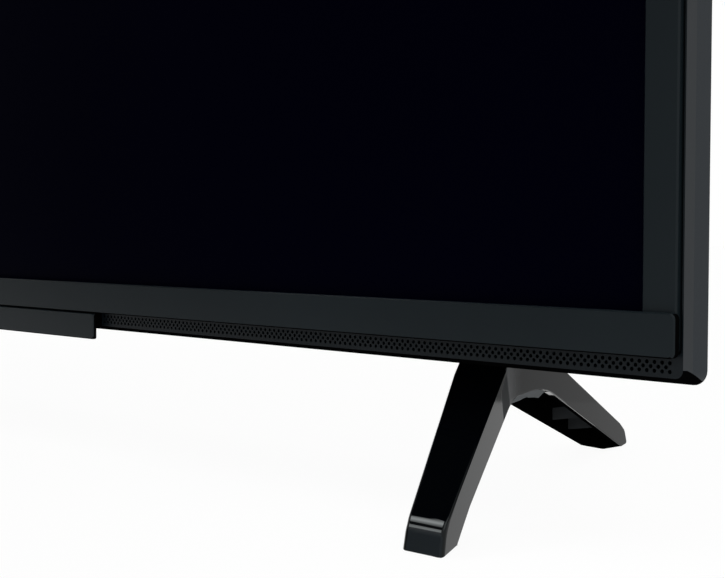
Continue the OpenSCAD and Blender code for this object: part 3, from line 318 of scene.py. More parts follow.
def noise(place, size, detail):
    """Grey noise whose grains are about size metres across."""
    return place.add("ShaderNodeTexNoise", None,
                     {"Vector": place, "Scale": 1.0 / size, "Detail": detail})


def blend(factor, first, second):
    """Mix two colours, or a colour signal, by a factor."""
    node = factor.add("ShaderNodeMix", {"data_type": "RGBA"}, {"Factor": factor}, out=2)
    for socket, value in ((6, first), (7, second)):
        value = value if isinstance(value, Signal) else (*value, 1.0)
        Signal.plug(node.tree, node.socket.node.inputs[socket], value)
    return node


def shaded(colour, gain):
    """A colour made darker or lighter."""
    return tuple(min(1.0, channel * gain) for channel in colour)


def moulded(name, colour, gloss, grain=0.35 * MM, depth=0.012 * MM, cloud=0.12, level=0.5):
    """Moulded plastic with a fine grain, a faint cloudiness and an uneven gloss."""
    finish, shader, place = new_finish(name)
    fine = noise(place, grain, 2.0)
    broad = noise(place, CLOUD_SIZE, 3.0)
    Signal.plug(place.tree, shader.inputs["Base Color"],
                blend(broad, shaded(colour, 1 - cloud), shaded(colour, 1 + cloud)))
    even = gloss - (CLOUD_GLOSS + GRAIN_GLOSS) / 2
    Signal.plug(place.tree, shader.inputs["Roughness"],
                even + CLOUD_GLOSS * broad + GRAIN_GLOSS * fine)
    bump = fine.add("ShaderNodeBump", None,
                    {"Height": fine, "Strength": GRAIN_BUMP, "Distance": depth})
    Signal.plug(place.tree, shader.inputs["Normal"], bump)
    shader.inputs["Specular IOR Level"].default_value = level
    return finish


def metal(name, colour, gloss, stretch=(1.0, 1.0, 1.0), grain=0.6 * MM):
    """Rolled or drawn metal, with fine lines along one direction."""
    finish, shader, place = new_finish(name)
    lines = place.add("ShaderNodeMapping", None, {"Vector": place, "Scale": stretch})
    fine = noise(lines, grain, 3.0)
    broad = noise(place, PATCH_SIZE, 2.0)
    Signal.plug(place.tree, shader.inputs["Base Color"],
                blend(broad, shaded(colour, PATCH_DARK), shaded(colour, PATCH_LIGHT)))
    Signal.plug(place.tree, shader.inputs["Roughness"],
                gloss - LINE_GLOSS / 2 + LINE_GLOSS * fine)
    shader.inputs["Metallic"].default_value = 1.0
    bump = fine.add("ShaderNodeBump", None,
                    {"Height": fine, "Strength": LINE_BUMP, "Distance": LINE_DEPTH})
    Signal.plug(place.tree, shader.inputs["Normal"], bump)
    return finish


print("finish helpers are ready")

# %% [markdown]
# The outside of the set is black throughout, but each piece has its own black: the bezel and the
# bar are satin, the frame and its drilled strips a little darker, the cover matt, and the feet
# glossy and made apart, below. The plastics inside come from the same function. One shared black
# would be simpler, but the pieces would then melt into each other.

# %% Plastics
# For each plastic: its colour, its roughness, and what differs from the usual grain.
PLASTICS = {
    "frame_black": ((0.008, 0.0115, 0.0145), 0.34, {"depth": 0.008 * MM, "level": 0.4}),
    "bezel_black": ((0.0063, 0.0101, 0.0124), 0.36, {"depth": 0.01 * MM, "level": 0.12}),
    "bar_black": ((0.0062, 0.0100, 0.0123), 0.36, {"depth": 0.01 * MM, "level": 0.12}),
    "grille_black": ((0.003, 0.0055, 0.0075), 0.4, {"depth": 0.01 * MM, "level": 0.15}),
    "cover_black": ((0.004, 0.0085, 0.013), 0.5,
                    {"grain": 0.6 * MM, "depth": 0.05 * MM, "level": 0.34}),
    "pad_rubber": ((0.012, 0.012, 0.013), 0.8, {"grain": 0.8 * MM, "depth": 0.06 * MM}),
    "inner_plastic": ((0.03, 0.031, 0.033), 0.5, {"grain": 0.8 * MM, "depth": 0.03 * MM}),
    "part_black": ((0.012, 0.012, 0.013), 0.42, {"grain": 0.3 * MM}),
    "part_blue": ((0.02, 0.05, 0.16), 0.3, {"grain": 0.5 * MM}),
    "core_grey": ((0.07, 0.072, 0.075), 0.6, {"grain": 0.5 * MM, "depth": 0.03 * MM}),
    "lead_grey": ((0.16, 0.16, 0.165), 0.45, {"grain": 0.4 * MM}),
    "ribbon_white": ((0.62, 0.63, 0.62), 0.45, {"grain": 0.5 * MM}),
    "white_sheet": ((0.8, 0.81, 0.8), 0.5,
                    {"grain": 0.4 * MM, "depth": 0.01 * MM, "cloud": 0.03}),
    "foam": ((0.02, 0.02, 0.021), 0.95, {"grain": 0.7 * MM, "depth": 0.15 * MM, "cloud": 0.3}),
}
finishes = {name: moulded(name, colour, gloss, **grain)
            for name, (colour, gloss, grain) in PLASTICS.items()}
print("plastic finishes:", len(finishes))

# %% [markdown]
# The feet are polished, and mirror their surroundings, so their colour comes mostly from the room.
# Where the front leg turns into the seat, the outer side has a hollowed facet, and its shade is
# painted into the colour; behind it a painted sheen makes the side a little paler before it evens
# out. The hollow is too shallow to carve, so both the painted shade and the painted sheen are drawn
# on the side itself, from the length along the foot and the height over the table. The three
# borders of the facet are straight lines that lean as they go down.

# %% Polished feet
FOOT_TURN = math.radians(19.5)
FOOT_TINT = (0.91, 0.99, 1.0, 1.0)
FRONT_POLISH = 0.045
OUTER_DEPTH = 0.3 * MM
FACET_TOP = 48.5 * MM
FACET_SOFT = 0.7 * MM
# For each border of the facet: its length from the toe at the top, and how far it leans.
NOSE_BORDER = (54.7 * MM, -0.816)
FRONT_BORDER = (49.4 * MM, 0.25)
BACK_BORDER = (56.3 * MM, 0.344)
PALE_MIDDLE = 64.0 * MM
PALE_FADE = 20.0 * MM
PALE_SOFT = 1.0 * MM
PALE_SHARE = 0.35
# Greys of the painted sheen and of the painted shade in the facet.
SHEEN_GREY, FACET_SHADE_GREY = (0.25, 0.26, 0.27), (0.012, 0.015, 0.017)
foot_x, foot_y = edge_x - 63.5 * MM, front_y - 30.6 * MM


def soft_step(value, width):
    """Zero below the value's zero and one above it, with a soft edge."""
    return value.add("ShaderNodeMapRange", {"interpolation_type": "SMOOTHSTEP"},
                     {"Value": value, "From Min": -width / 2, "From Max": width / 2})


polish = moulded("foot_black", (0.0006, 0.0009, 0.0014), 0.08, 0.5 * MM, 0.002 * MM, 0.2, 0.2)
tree = polish.node_tree
shader = tree.nodes["Principled BSDF"]
shader.inputs["Specular Tint"].default_value = FOOT_TINT
gloss = Signal(shader.outputs[0])
place = Signal.make(tree, "ShaderNodeTexCoord", out="Object")
across = place.add("ShaderNodeSeparateXYZ", None, {"Vector": place}, 0)
away, high = (Signal(across.socket.node.outputs[axis]) for axis in (1, 2))
side = across.math("ABSOLUTE", across) - foot_x
length = (away - foot_y) * math.cos(FOOT_TURN) - side * math.sin(FOOT_TURN)
depth = (away - foot_y) * math.sin(FOOT_TURN) + side * math.cos(FOOT_TURN)
outer = depth > -OUTER_DEPTH
even = Signal(shader.inputs["Roughness"].links[0].from_socket)
Signal.plug(tree, shader.inputs["Roughness"], even - FRONT_POLISH * (1.0 - outer))
drop = FACET_TOP - high
nose, front, back = (lean * drop + top for top, lean in (NOSE_BORDER, FRONT_BORDER, BACK_BORDER))
# Painted shade on the facet, and a painted sheen behind it, mixed over the gloss.
facet = soft_step(length - nose, FACET_SOFT) * soft_step(length - front, FACET_SOFT)
facet = facet * soft_step(back - length, FACET_SOFT) * outer
pale = 1.0 - soft_step(length - PALE_MIDDLE, PALE_FADE)
pale = pale * soft_step(length - back, PALE_SOFT) * outer * PALE_SHARE
shade = facet.add("ShaderNodeBsdfPrincipled", None,
                  {"Base Color": blend(facet, SHEEN_GREY, FACET_SHADE_GREY), "Roughness": 0.6,
                   "Specular IOR Level": 0.2})
mixed = facet.add("ShaderNodeMixShader", None, {0: facet.most(pale), 1: gloss, 2: shade})
tree.links.new(mixed.socket, tree.nodes["Material Output"].inputs["Surface"])
finishes["foot_black"] = polish
print("foot finish:", polish.name)

# %% [markdown]
# The metals are inside the set and in its sockets. Pressed sheet shows the direction in which it
# was rolled, and a screw head is plain and dark. Stretching the noise along one axis gives the
# rolling lines without drawing them one by one.

# %% Metals
finishes["tray_steel"] = metal("tray_steel", (0.56, 0.57, 0.58), 0.38, (0.06, 1.0, 1.0))
finishes["steel"] = metal("steel", (0.5, 0.5, 0.51), 0.32, (1.0, 0.08, 1.0))
finishes["dark_screw"] = metal("dark_screw", (0.045, 0.045, 0.048), 0.36, grain=0.2 * MM)
finishes["heat_metal"] = metal("heat_metal", (0.62, 0.63, 0.64), 0.42, (1.0, 1.0, 0.05))
finishes["socket_metal"] = metal("socket_metal", (0.64, 0.63, 0.6), 0.28, (1.0, 1.0, 0.1))
print("finishes with the metals:", len(finishes))

# %% [markdown]
# The screen is a dark panel behind a film that kills reflections, so it stays almost black beside
# the satin bezel. Its faint blue is the panel's own. The lens of the receiver is a deep red plastic
# that looks black from outside, and the small lenses over the lamps of the screen are clear.

# %% Screen and lenses
film, shader, place = new_finish("screen_dark")
weave = noise(place, 0.12 * MM, 1.0)
haze = noise(place, 120 * MM, 2.0)
Signal.plug(place.tree, shader.inputs["Base Color"],
            blend(haze, (0.0002, 0.0002, 0.0026), (0.0004, 0.0004, 0.0034)))
Signal.plug(place.tree, shader.inputs["Roughness"], 0.3 + 0.04 * weave)
shader.inputs["Specular IOR Level"].default_value = 0.005
finishes["screen_dark"] = film

glass, shader, place = new_finish("lens_red")
depth = noise(place, 3 * MM, 1.0)
Signal.plug(place.tree, shader.inputs["Base Color"],
            blend(depth, (0.006, 0.001, 0.001), (0.016, 0.002, 0.002)))
Signal.plug(place.tree, shader.inputs["Roughness"], 0.08 + 0.04 * depth)
finishes["lens_red"] = glass

clear, shader, place = new_finish("clear_plastic")
swirl = noise(place, 2 * MM, 1.0)
Signal.plug(place.tree, shader.inputs["Base Color"],
            blend(swirl, (0.82, 0.84, 0.86), (0.9, 0.91, 0.92)))
Signal.plug(place.tree, shader.inputs["Roughness"], 0.1 + 0.05 * swirl)
shader.inputs["Transmission Weight"].default_value = 0.7
finishes["clear_plastic"] = clear
print("dark and clear finishes:", film.name, glass.name, clear.name)

# %% [markdown]
# The circuit boards carry a lacquer over copper, which shows as lighter lanes in the lacquer, and
# small tinned pads where parts are soldered. Real lanes follow a circuit. Inside a closed cabinet
# a pattern of cells is enough to tell a board from a plain sheet.

# %% Circuit boards
LANE_CELL = 5 * MM
LANE_EDGE = 0.06
PAD_CELL = 3 * MM
PAD_RADIUS = 0.16
TIN = (0.6, 0.6, 0.58)


def lacquered_board(name, lacquer, lane):
    """A circuit board: lacquer over lanes of copper, with small tinned pads."""
    finish, shader, place = new_finish(name)
    cells = place.add("ShaderNodeTexVoronoi", {"feature": "DISTANCE_TO_EDGE"},
                      {"Vector": place, "Scale": 1.0 / LANE_CELL})
    lanes = cells > LANE_EDGE
    pads = place.add("ShaderNodeTexVoronoi", {"feature": "F1"},
                     {"Vector": place, "Scale": 1.0 / PAD_CELL})
    tinned = 1.0 - (pads > PAD_RADIUS)
    ground = blend(lanes, lane, lacquer)
    Signal.plug(place.tree, shader.inputs["Base Color"], blend(tinned, ground, TIN))
    Signal.plug(place.tree, shader.inputs["Metallic"], tinned * 0.9)
    Signal.plug(place.tree, shader.inputs["Roughness"], 0.42 - 0.12 * tinned)
    return finish


finishes["board_green"] = lacquered_board("board_green", (0.01, 0.09, 0.035), (0.02, 0.15, 0.06))
finishes["board_tan"] = lacquered_board("board_tan", (0.32, 0.2, 0.09), (0.4, 0.27, 0.13))
print("finishes in all:", len(finishes))

# %% [markdown]
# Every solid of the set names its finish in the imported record, so one loop dresses them all. What
# stays hidden inside the cabinet is dressed as well, because the set can be taken apart.

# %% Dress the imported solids
for node, solid in nodes.items():
    solid.data.materials.clear()
    solid.data.materials.append(finishes[slot_of[node]])
print("dressed:", len(nodes), "solids")

# %% [markdown]
# The solids are loose triangles, and they stay as they are. A piece that needs softer edges or a
# second finish is copied, the copy's triangles are merged into whole faces, and the copy stands for
# the solid from then on. Remodelling the piece by hand would risk a shape that no longer fits.

# %% Copies of solids
WELD = 0.002 * MM
FLAT = math.radians(0.4)


def only(piece):
    """Select one piece and make it the active one."""
    bpy.ops.object.select_all(action="DESELECT")
    piece.select_set(True)
    bpy.context.view_layer.objects.active = piece


def join_to(piece, others):
    """Join other objects to a piece."""
    only(piece)
    for other in others:
        other.select_set(True)
    bpy.ops.object.join()


def pick_faces(piece, accept):
    """Enter edit mode with only those faces of a piece selected that a test accepts."""
    only(piece)
    bpy.ops.object.mode_set(mode="EDIT")
    bpy.ops.mesh.select_mode(type="FACE")
    bpy.ops.mesh.select_all(action="DESELECT")
    mesh = bmesh.from_edit_mesh(piece.data)
    for face in [face for face in mesh.faces if accept(face)]:
        face.select_set(True)
    bmesh.update_edit_mesh(piece.data)


def whole_copy(node, name):
    """A copy of a solid, its triangles merged into whole flat faces."""
    piece = bpy.data.objects.new(name, nodes[node].data.copy())
    scene.collection.objects.link(piece)
    only(piece)
    bpy.ops.object.mode_set(mode="EDIT")
    bpy.ops.mesh.select_all(action="SELECT")
    bpy.ops.mesh.remove_doubles(threshold=WELD)
    bpy.ops.mesh.dissolve_limited(angle_limit=FLAT)
    bpy.ops.object.mode_set(mode="OBJECT")
    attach(piece, "cabinet")
    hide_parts(node)
    return piece


print("flat faces merge below", round(math.degrees(FLAT), 1), "degrees")

# %% [markdown]
# A real moulding has no knife-sharp edges. The edges that the light finds are beveled in edit mode,
# as by hand, each group with the radius that it has on the real piece. A Bevel modifier over the
# whole piece would also round what is crisp. It is used where a rounding runs out along an edge,
# because it can take a weight for every edge. Shading is then smoothed over shallow edges only.

# %% Softened edges
SHALLOW = math.radians(32.0)


def bevel_where(piece, accept, radius, steps):
    """Bevel the edges of a piece that a test accepts."""
    only(piece)
    bpy.ops.object.mode_set(mode="EDIT")
    bpy.ops.mesh.select_mode(type="EDGE")
    bpy.ops.mesh.select_all(action="DESELECT")
    mesh = bmesh.from_edit_mesh(piece.data)
    picked = [edge for edge in mesh.edges if edge.is_manifold and accept(edge)]
    for edge in picked:
        edge.select_set(True)
    bmesh.update_edit_mesh(piece.data)
    if picked:
        bpy.ops.mesh.bevel(offset=radius, segments=steps, affect="EDGES", clamp_overlap=False)
    bpy.ops.object.mode_set(mode="OBJECT")
    return len(picked)


def round_by_weight(piece, weight, radius, steps):
    """Round edges by a weight from 0 to 1 of one radius, so that a rounding can run out."""
    only(piece)
    bpy.ops.object.mode_set(mode="EDIT")
    mesh = bmesh.from_edit_mesh(piece.data)
    layer = mesh.edges.layers.float.new("bevel_weight_edge")
    picked = 0
    for edge in mesh.edges:
        edge[layer] = weight(edge) if edge.is_manifold else 0.0
        picked += edge[layer] > 0.0
    bmesh.update_edit_mesh(piece.data)
    bpy.ops.object.mode_set(mode="OBJECT")
    bpy.ops.object.modifier_add(type="BEVEL")
    rounding = piece.modifiers[-1]
    rounding.limit_method = "WEIGHT"
    rounding.width = radius
    rounding.segments = steps
    rounding.use_clamp_overlap = False
    bpy.ops.object.modifier_apply(modifier=rounding.name)
    piece.data.attributes.remove(piece.data.attributes["bevel_weight_edge"])
    return picked


def smooth(piece, flat_from=1.0):
    """Smooth shading over shallow edges; faces over an area in square metres stay flat."""
    only(piece)
    bpy.ops.object.shade_smooth_by_angle(angle=SHALLOW)
    for face in piece.data.polygons:
        face.use_smooth = face.area < flat_from
    bpy.ops.object.modifier_add(type="WEIGHTED_NORMAL")
    piece.modifiers[-1].keep_sharp = True
    bpy.ops.object.modifier_apply(modifier=piece.modifiers[-1].name)
    return len(piece.data.polygons)


print("edges are shaded soft below", round(math.degrees(SHALLOW)), "degrees")

# %% [markdown]
# The underside of a cabinet is left matt, without reflection, and its colour is painted darker as
# shade. So are the ends of the trim bar and of the control block, and the hollows of the feet. Such
# faces take this second finish. They are picked by the way they look or by their place, so that
# no copy needs painting by hand.

# %% Matt finish with painted shade
# How far a face looks along an axis, as the cosine of its angle to it.
STRAIGHT, MOSTLY, HALFWAY, PARTLY, HARDLY = 0.95, 0.6, 0.5, 0.3, 0.1
# The very dark colour of this matt finish is painted shade.
matt_shade = moulded("matt_shade_black", (0.0012, 0.0012, 0.0013), 0.9, 0.8 * MM, 0.02 * MM, level=0.0)


def paint_where(piece, accept, finish):
    """Give the faces that a test accepts a second finish."""
    piece.data.materials.append(finish)
    index = len(piece.data.materials) - 1
    picked = [face for face in piece.data.polygons if accept(face)]
    for face in picked:
        face.material_index = index
    return len(picked)


def looks_forward(face):
    return face.normal.y < -STRAIGHT


def looks_aside(face):
    """Faces at the ends of a bar, without the bevel along its front."""
    return abs(face.normal.x) > MOSTLY and face.normal.y > -HALFWAY


print("dull finish:", matt_shade.name)

# %% [markdown]
# At the lower corners of the cabinet the painted shade of the underside meets the satin side in a
# slanting line, as where two mouldings are mitred. The rounding there has long facets, so the copy
# is cut along that slant with a bisecting plane, and the faces below the cut count as underside.
# The trim bar has wider arcs at its corners than its solid. Each arc grows from its own sharp
# corner, which leaves the bar's outline where it is.

# %% Cabinet corners
CORNER_TOP = 62 * MM
SLANT_POINT = Vector((0.0, front_y + 1.0 * MM, 58.3 * MM))
SLANT_UP = Vector((0.0, 0.49, 1.0)).normalized()
BAR_ARC = 1.0 * MM
BAR_CORNER = 1.8 * MM


def slice_corners(piece):
    """Cut the roundings at the lower corners along the slant where the painted shade ends."""
    pick_faces(piece, lambda face: face.calc_center_median().z < CORNER_TOP
               and abs(face.normal.x) > PARTLY)
    bpy.ops.mesh.bisect(plane_co=SLANT_POINT, plane_no=SLANT_UP, threshold=WELD / 2)
    bpy.ops.object.mode_set(mode="OBJECT")


def ease_corners(piece, arc, radius):
    """Widen the small arcs at a bar's four corners, each from its own sharp corner."""
    for level in {round(vertex.co.y / MM, 2) for vertex in piece.data.vertices}:
        ring = [vertex for vertex in piece.data.vertices if round(vertex.co.y / MM, 2) == level]
        end = max(vertex.co.x for vertex in ring)
        low, top = min(vertex.co.z for vertex in ring), max(vertex.co.z for vertex in ring)
        for vertex in ring:
            height = low if vertex.co.z < (low + top) / 2 else top
            corner = Vector((math.copysign(end, vertex.co.x), vertex.co.y, height))
            away = vertex.co - corner
            if max(abs(away.x), abs(away.z)) < arc + WELD:
                vertex.co = corner + away * (radius / arc)


def looks_down(face):
    """Faces of an underside, and of its corners as far as the slanting line."""
    if abs(face.normal.x) < MOSTLY and face.normal.z < -HALFWAY:
        return True
    return face.normal.z < -HARDLY and (face.center - SLANT_POINT).dot(SLANT_UP) < 0.0


print("corners are cut at", round(SLANT_POINT.z / MM, 1), "mm over the table")

# %% [markdown]
# The pieces of the outside that the light grazes are replaced by their copies. The frame's forward
# faces take the black of the grille, because frame and grille read as one strip on the real set.

# %% Cabinet copies
for node in ("front_frame", "rear_cover", "bezel_ring", "lower_bar", "control_block",
             "grille_left", "grille_right"):
    piece = whole_copy(node, node + "_skin")
    if node in ("front_frame", "rear_cover"):
        slice_corners(piece)
    if node == "lower_bar":
        ease_corners(piece, BAR_ARC, BAR_CORNER)
    # Undersides, and the ends of the bar and of the block, take the painted shade.
    count = paint_where(piece, looks_down, matt_shade)
    if node in ("lower_bar", "control_block"):
        count += paint_where(piece, looks_aside, matt_shade)
    if node == "front_frame":
        paint_where(piece, looks_forward, finishes["grille_black"])
    print(piece.name, "faces:", smooth(piece), "dull:", count)

# %% [markdown]
# Each foot is one glossy moulding. Its outer side is a single plane, the largest upright face.
# Lengths along the foot are counted from the tip of its toe, and depths into it from that plane.
# Both feet are turned, and one mirrors the other, so a small class keeps the two directions.


# %% Axes of a foot
class FootAxes:
    """The directions of a foot, with lengths from its toe and depths from its outer side."""

    def __init__(self, piece, hand):
        sides = [face for face in piece.data.polygons
                 if abs(face.normal.z) < 0.01 and face.normal.x * hand > 0.5]
        side = max(sides, key=lambda face: face.area)
        self.across = side.normal.copy()
        self.along = Vector((-self.across.y, self.across.x, 0.0)) * hand
        self.reach = side.center.dot(self.across)
        self.start = min(vertex.co.dot(self.along) for vertex in piece.data.vertices)

    def length(self, point):
        return point.dot(self.along) - self.start

    def depth(self, point):
        return self.reach - point.dot(self.across)


print("axes of a foot are ready")

# %% [markdown]
# The solid has a small arc at the toe's lower front edge, and the real toe ends in a corner. The
# inner wall of the toe is first merged into whole faces. Then the points of the arc are drawn to
# its front and down to its sole, and merged, as snapping them by hand would do.

# %% Square toe
TOE = 18 * MM
INNER_WALL = 13.5 * MM
WALL_FLAT = math.radians(8.0)
ARC_HIGH = 1.2 * MM
ARC_LONG = 1.1 * MM
NEAR = 0.02 * MM


def square_toe(piece, axes):
    """Draw the small arc at the toe's lower front edge together into one corner."""
    def inner_wall(face):
        centre = face.calc_center_median()
        return (face.normal.dot(axes.across) < -0.8 and axes.depth(centre) > INNER_WALL
                and axes.length(centre) < 1.5 * TOE)

    pick_faces(piece, inner_wall)
    bpy.ops.mesh.dissolve_limited(angle_limit=WALL_FLAT)
    bpy.ops.object.mode_set(mode="OBJECT")
    low = [vertex for vertex in piece.data.vertices
           if vertex.co.z < ARC_HIGH and axes.length(vertex.co) < TOE / 2]
    for line in {round(vertex.co.dot(axes.across) / MM, 1) for vertex in low}:
        arc = [v for v in low if round(v.co.dot(axes.across) / MM, 1) == line]
        front = min(v.co.dot(axes.along) for v in arc)
        sole = min(v.co.z for v in arc)
        for vertex in arc:
            if vertex.co.dot(axes.along) - front < ARC_LONG:
                vertex.co += axes.along * (front - vertex.co.dot(axes.along))
                vertex.co.z = sole
    bpy.ops.object.mode_set(mode="EDIT")
    bpy.ops.mesh.select_all(action="SELECT")
    bpy.ops.mesh.remove_doubles(threshold=NEAR)
    bpy.ops.mesh.dissolve_limited(angle_limit=FLAT)
    bpy.ops.object.mode_set(mode="OBJECT")


print("toe length in mm:", round(TOE / MM, 1))

# %% [markdown]
# Along the outer side the front edge has a radius that can be felt at the toe and that runs out up
# the leg, so it is rounded by weight. The inner front edge has one radius, the edge of the sole a
# small one, and the other edges of the outer side are only broken. The rim around the rubber pad
# stays as it is.

# %% Edges of a foot
TOE_ROUND = 1.8 * MM
LEG_ROUND = 0.5 * MM
INNER_ROUND = 1.4 * MM
SOLE_ROUND = 0.3 * MM
BROKEN_EDGE = 0.4 * MM
TOE_TOP = 12 * MM
BEND_HIGH = 3.5 * MM
SOLE_HIGH = 1.6 * MM
PAD_ALONG = (6 * MM, 12 * MM)
PAD_ACROSS = (2 * MM, 14 * MM)
SHARP = math.radians(35.0)


def middle(edge):
    return (edge.verts[0].co + edge.verts[1].co) / 2


def round_foot(piece, axes):
    """Round the edges of a foot, each group with its own radius."""
    def on_side(edge):
        return all(abs(axes.depth(vertex.co)) < NEAR for vertex in edge.verts)

    def sharp(edge):
        return edge.calc_face_angle_signed() > SHARP

    def front(edge):
        return any(face.normal.dot(axes.along) < -0.3 and face.normal.z > -0.3
                   for face in edge.link_faces)

    def inner(edge):
        return any(face.normal.dot(axes.across) < -0.6 for face in edge.link_faces)

    def on_sole(edge):
        return (any(face.normal.z < -0.9 for face in edge.link_faces)
                and middle(edge).z < SOLE_HIGH and axes.length(middle(edge)) < TOE)

    def round_pad(edge):
        return (PAD_ALONG[0] < axes.length(middle(edge)) < PAD_ALONG[1]
                and PAD_ACROSS[0] < axes.depth(middle(edge)) < PAD_ACROSS[1])

    def front_weight(edge):
        if not (on_side(edge) and sharp(edge) and front(edge)) or on_sole(edge):
            return 0.0
        share = min(max((TOE_TOP - middle(edge).z) / BEND_HIGH, 0.0), 1.0)
        return (LEG_ROUND + share * (TOE_ROUND - LEG_ROUND)) / TOE_ROUND

    rounded = round_by_weight(piece, front_weight, TOE_ROUND, 5)
    inside = bevel_where(piece, lambda e: sharp(e) and front(e) and inner(e)
                         and not on_sole(e), INNER_ROUND, 3)
    broken = bevel_where(piece, lambda e: on_side(e) and sharp(e) and not front(e)
                         and not on_sole(e), BROKEN_EDGE, 2)
    sole = bevel_where(piece, lambda e: on_sole(e) and sharp(e) and not round_pad(e),
                       SOLE_ROUND, 3)
    print(piece.name, "edges:", rounded, inside, broken, sole)


print("radius at the toe and up the leg in mm:", round(TOE_ROUND / MM, 1), round(LEG_ROUND / MM, 1))

# %% [markdown]
# Under the arch of the foot a narrow lining carries a painted reflection: its light grey stands for
# the light of the table. It follows the arch's outer edge, and leans inwards and down. A grid is
# laid along that edge point by point and joined to the foot. Extruding the edge itself would stop
# at every break in it.

# %% Arch lining
ARCH_ALONG = (61 * MM, 106.5 * MM)
ARCH_HIGH = (36.5 * MM, 41 * MM)
EDGE_BAND = 0.6 * MM
LINING_PARTS = 12
LINING_SET = 0.5 * MM
LINING_LIFT = 0.2 * MM
LINING_IN = 3.1 * MM
LINING_DROP = 3.3 * MM
TINY = 1e-9
# The lining's light grey is a painted reflection of the table.
lining_reflection = moulded("lining_painted_reflection", (0.13, 0.138, 0.143), 0.8, depth=0.01 * MM, level=0.0)


def line_arch(piece, axes):
    """A thin lining under the arch, from its outer edge inwards and down, joined to the foot."""
    edge = sorted({(round(axes.length(v.co), 6), v.co.z) for v in piece.data.vertices
                   if abs(axes.depth(v.co)) < EDGE_BAND
                   and ARCH_HIGH[0] < v.co.z < ARCH_HIGH[1]
                   and ARCH_ALONG[0] < axes.length(v.co) < ARCH_ALONG[1]})
    bpy.ops.object.select_all(action="DESELECT")
    bpy.ops.mesh.primitive_grid_add(x_subdivisions=LINING_PARTS, y_subdivisions=2, size=2.0)
    lining = bpy.context.object
    for vertex in lining.data.vertices:
        far, down = vertex.co.x / 2 + 0.5, vertex.co.y / 2 + 0.5
        length = edge[0][0] + far * (edge[-1][0] - edge[0][0])
        before = [point for point in edge if point[0] <= length + TINY][-1]
        after = [point for point in edge if point[0] >= length - TINY][0]
        share = (length - before[0]) / max(after[0] - before[0], TINY)
        height = before[1] + share * (after[1] - before[1])
        vertex.co = (axes.along * (axes.start + length)
                     + axes.across * (axes.reach - LINING_SET - down * LINING_IN)
                     + Vector((0.0, 0.0, height + LINING_LIFT - down * LINING_DROP)))
    lining.data.materials.append(lining_reflection)
    join_to(piece, [lining])
    print(piece.name, "arch points:", len(edge), "faces with it:", len(piece.data.polygons))


print("lining finish:", lining_reflection.name)

# %% [markdown]
# The rear leg is hollow, with cross ribs. The hollow takes the matt finish with painted shade, and
# the ribs a slightly paler one with painted light, where some light reaches them. The small face at
# the front of the toe is satin.
# Large faces stay flat in the shading: on a glossy plane, a normal that is bent at one corner
# mirrors a pale line.

# %% Feet
FLAT_SIDE = 300 * MM * MM
HOLLOW_START = 101 * MM
HOLLOW_ACROSS = (1.6 * MM, 18 * MM)
RIBS_ALONG = (150 * MM, 195 * MM)
TOE_FACE = 7 * MM
satin = moulded("satin_black", (0.0045, 0.0075, 0.0098), 0.36, depth=0.01 * MM, level=0.15)
# The ribs' paler grey is painted light.
rib_black = moulded("rib_black", (0.04, 0.043, 0.046), 0.8, depth=0.01 * MM, level=0.0)


def foot_skin(node, hand):
    """A foot with its edges rounded, its hollow given painted shade and its arch lined."""
    piece = whole_copy(node, node + "_skin")
    axes = FootAxes(piece, hand)
    square_toe(piece, axes)
    round_foot(piece, axes)

    def hollow(face):
        return (axes.length(face.center) > HOLLOW_START
                and HOLLOW_ACROSS[0] < axes.depth(face.center) < HOLLOW_ACROSS[1])

    def rib(face):
        return (hollow(face) and face.normal.dot(axes.along) < -0.9
                and RIBS_ALONG[0] < axes.length(face.center) < RIBS_ALONG[1])

    def toe_front(face):
        return (face.normal.dot(axes.along) < -0.88 and face.center.z < TOE_FACE
                and face.normal.z > 0.1)

    print(piece.name, "hollow, rib and toe faces:", paint_where(piece, hollow, matt_shade),
          paint_where(piece, rib, rib_black), paint_where(piece, toe_front, satin))
    line_arch(piece, axes)
    print(piece.name, "faces in all:", smooth(piece, flat_from=FLAT_SIDE))


for node, hand in (("foot_right", 1), ("foot_left", -1)):
    foot_skin(node, hand)

# %% [markdown]
# The rear cover is held by seven screws with a pan head and a cross-shaped recess. Their solids are
# plain cylinders. The recess is modelled once, as the body that is cut out: a small block with its
# four sides extruded to arms, and with its lower end narrowed as the tip of a driver is.

# %% Cross recess
CROSS_REACH = 1.8 * MM
CROSS_WIDTH = 0.9 * MM
CROSS_DEPTH = 1.2 * MM
CROSS_TAPER = 0.55


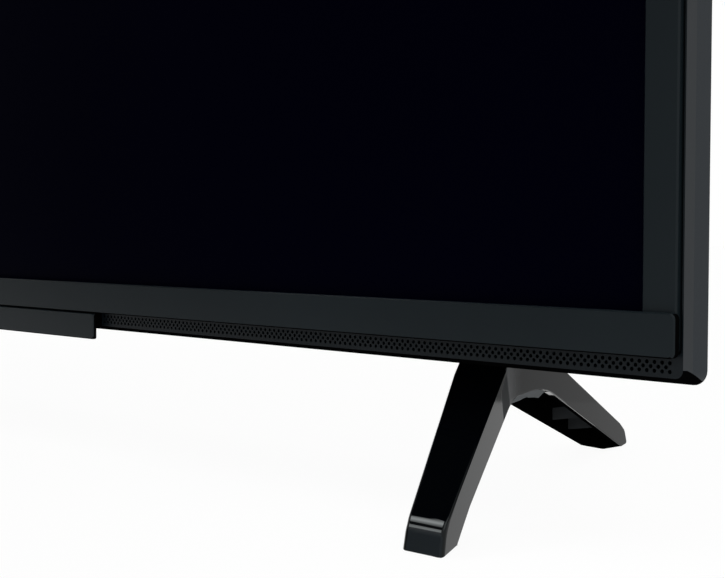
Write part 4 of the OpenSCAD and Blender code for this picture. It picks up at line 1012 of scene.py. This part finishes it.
def cross_cutter():
    """A cross whose arms are extruded from a block and whose lower end is narrower."""
    bpy.ops.object.select_all(action="DESELECT")
    bpy.ops.mesh.primitive_cube_add(size=CROSS_WIDTH)
    cross = bpy.context.object
    for vertex in cross.data.vertices:
        vertex.co.y = math.copysign(CROSS_DEPTH, vertex.co.y)
    arm = CROSS_REACH - CROSS_WIDTH / 2
    for way in (Vector((1, 0, 0)), Vector((-1, 0, 0)), Vector((0, 0, 1)), Vector((0, 0, -1))):
        pick_faces(cross, lambda face: face.normal.dot(way) > 0.9
                   and face.calc_center_median().dot(way) > 0.0
                   and face.calc_center_median().length < CROSS_WIDTH)
        bpy.ops.mesh.extrude_region_move(TRANSFORM_OT_translate={"value": way * arm})
        bpy.ops.object.mode_set(mode="OBJECT")
    for vertex in cross.data.vertices:
        if vertex.co.y < 0:
            vertex.co.x *= CROSS_TAPER
            vertex.co.z *= CROSS_TAPER
    return cross


print("arms of the cross reach", round(CROSS_REACH / MM, 1), "mm")

# %% [markdown]
# A copy of the screws gets a rounded rim. The cross is then copied to every head, each turned as
# the driver left it, and all of them are cut out at once. Drawing the cross as a dark pattern would
# be quicker, but it would vanish in a close view.

# %% Screw heads
HEAD_ROUND = 1.1 * MM
DRIVER_TURN = math.radians(37.0)
CROWN_AREA = 10 * MM * MM
TOP_AREA = 5 * MM * MM


def cross_heads(node):
    """Screws with rounded heads and a cross cut into each."""
    piece = whole_copy(node, node + "_skin")

    def crown(face):
        return face.normal.y > 0.99 and face.calc_area() > CROWN_AREA

    def rim(edge):
        return [crown(face) for face in edge.link_faces].count(True) == 1

    rounded = bevel_where(piece, rim, HEAD_ROUND, 4)
    tops = [face.center.copy() for face in piece.data.polygons
            if face.normal.y > 0.99 and face.area > TOP_AREA]
    cross = cross_cutter()
    crosses = []
    for count, top in enumerate(tops):
        cut = bpy.data.objects.new("cross", cross.data.copy())
        cut.data.transform(Matrix.Translation(top) @ Matrix.Rotation(count * DRIVER_TURN, 4, "Y"))
        scene.collection.objects.link(cut)
        crosses.append(cut)
    bpy.data.objects.remove(cross)
    join_to(crosses[0], crosses)
    only(piece)
    bpy.ops.object.modifier_add(type="BOOLEAN")
    piece.modifiers[-1].object = crosses[0]
    bpy.ops.object.modifier_apply(modifier=piece.modifiers[-1].name)
    bpy.data.objects.remove(crosses[0])
    print(piece.name, "heads:", len(tops), "rim edges:", rounded, "faces:", smooth(piece))


cross_heads("cover_screws")
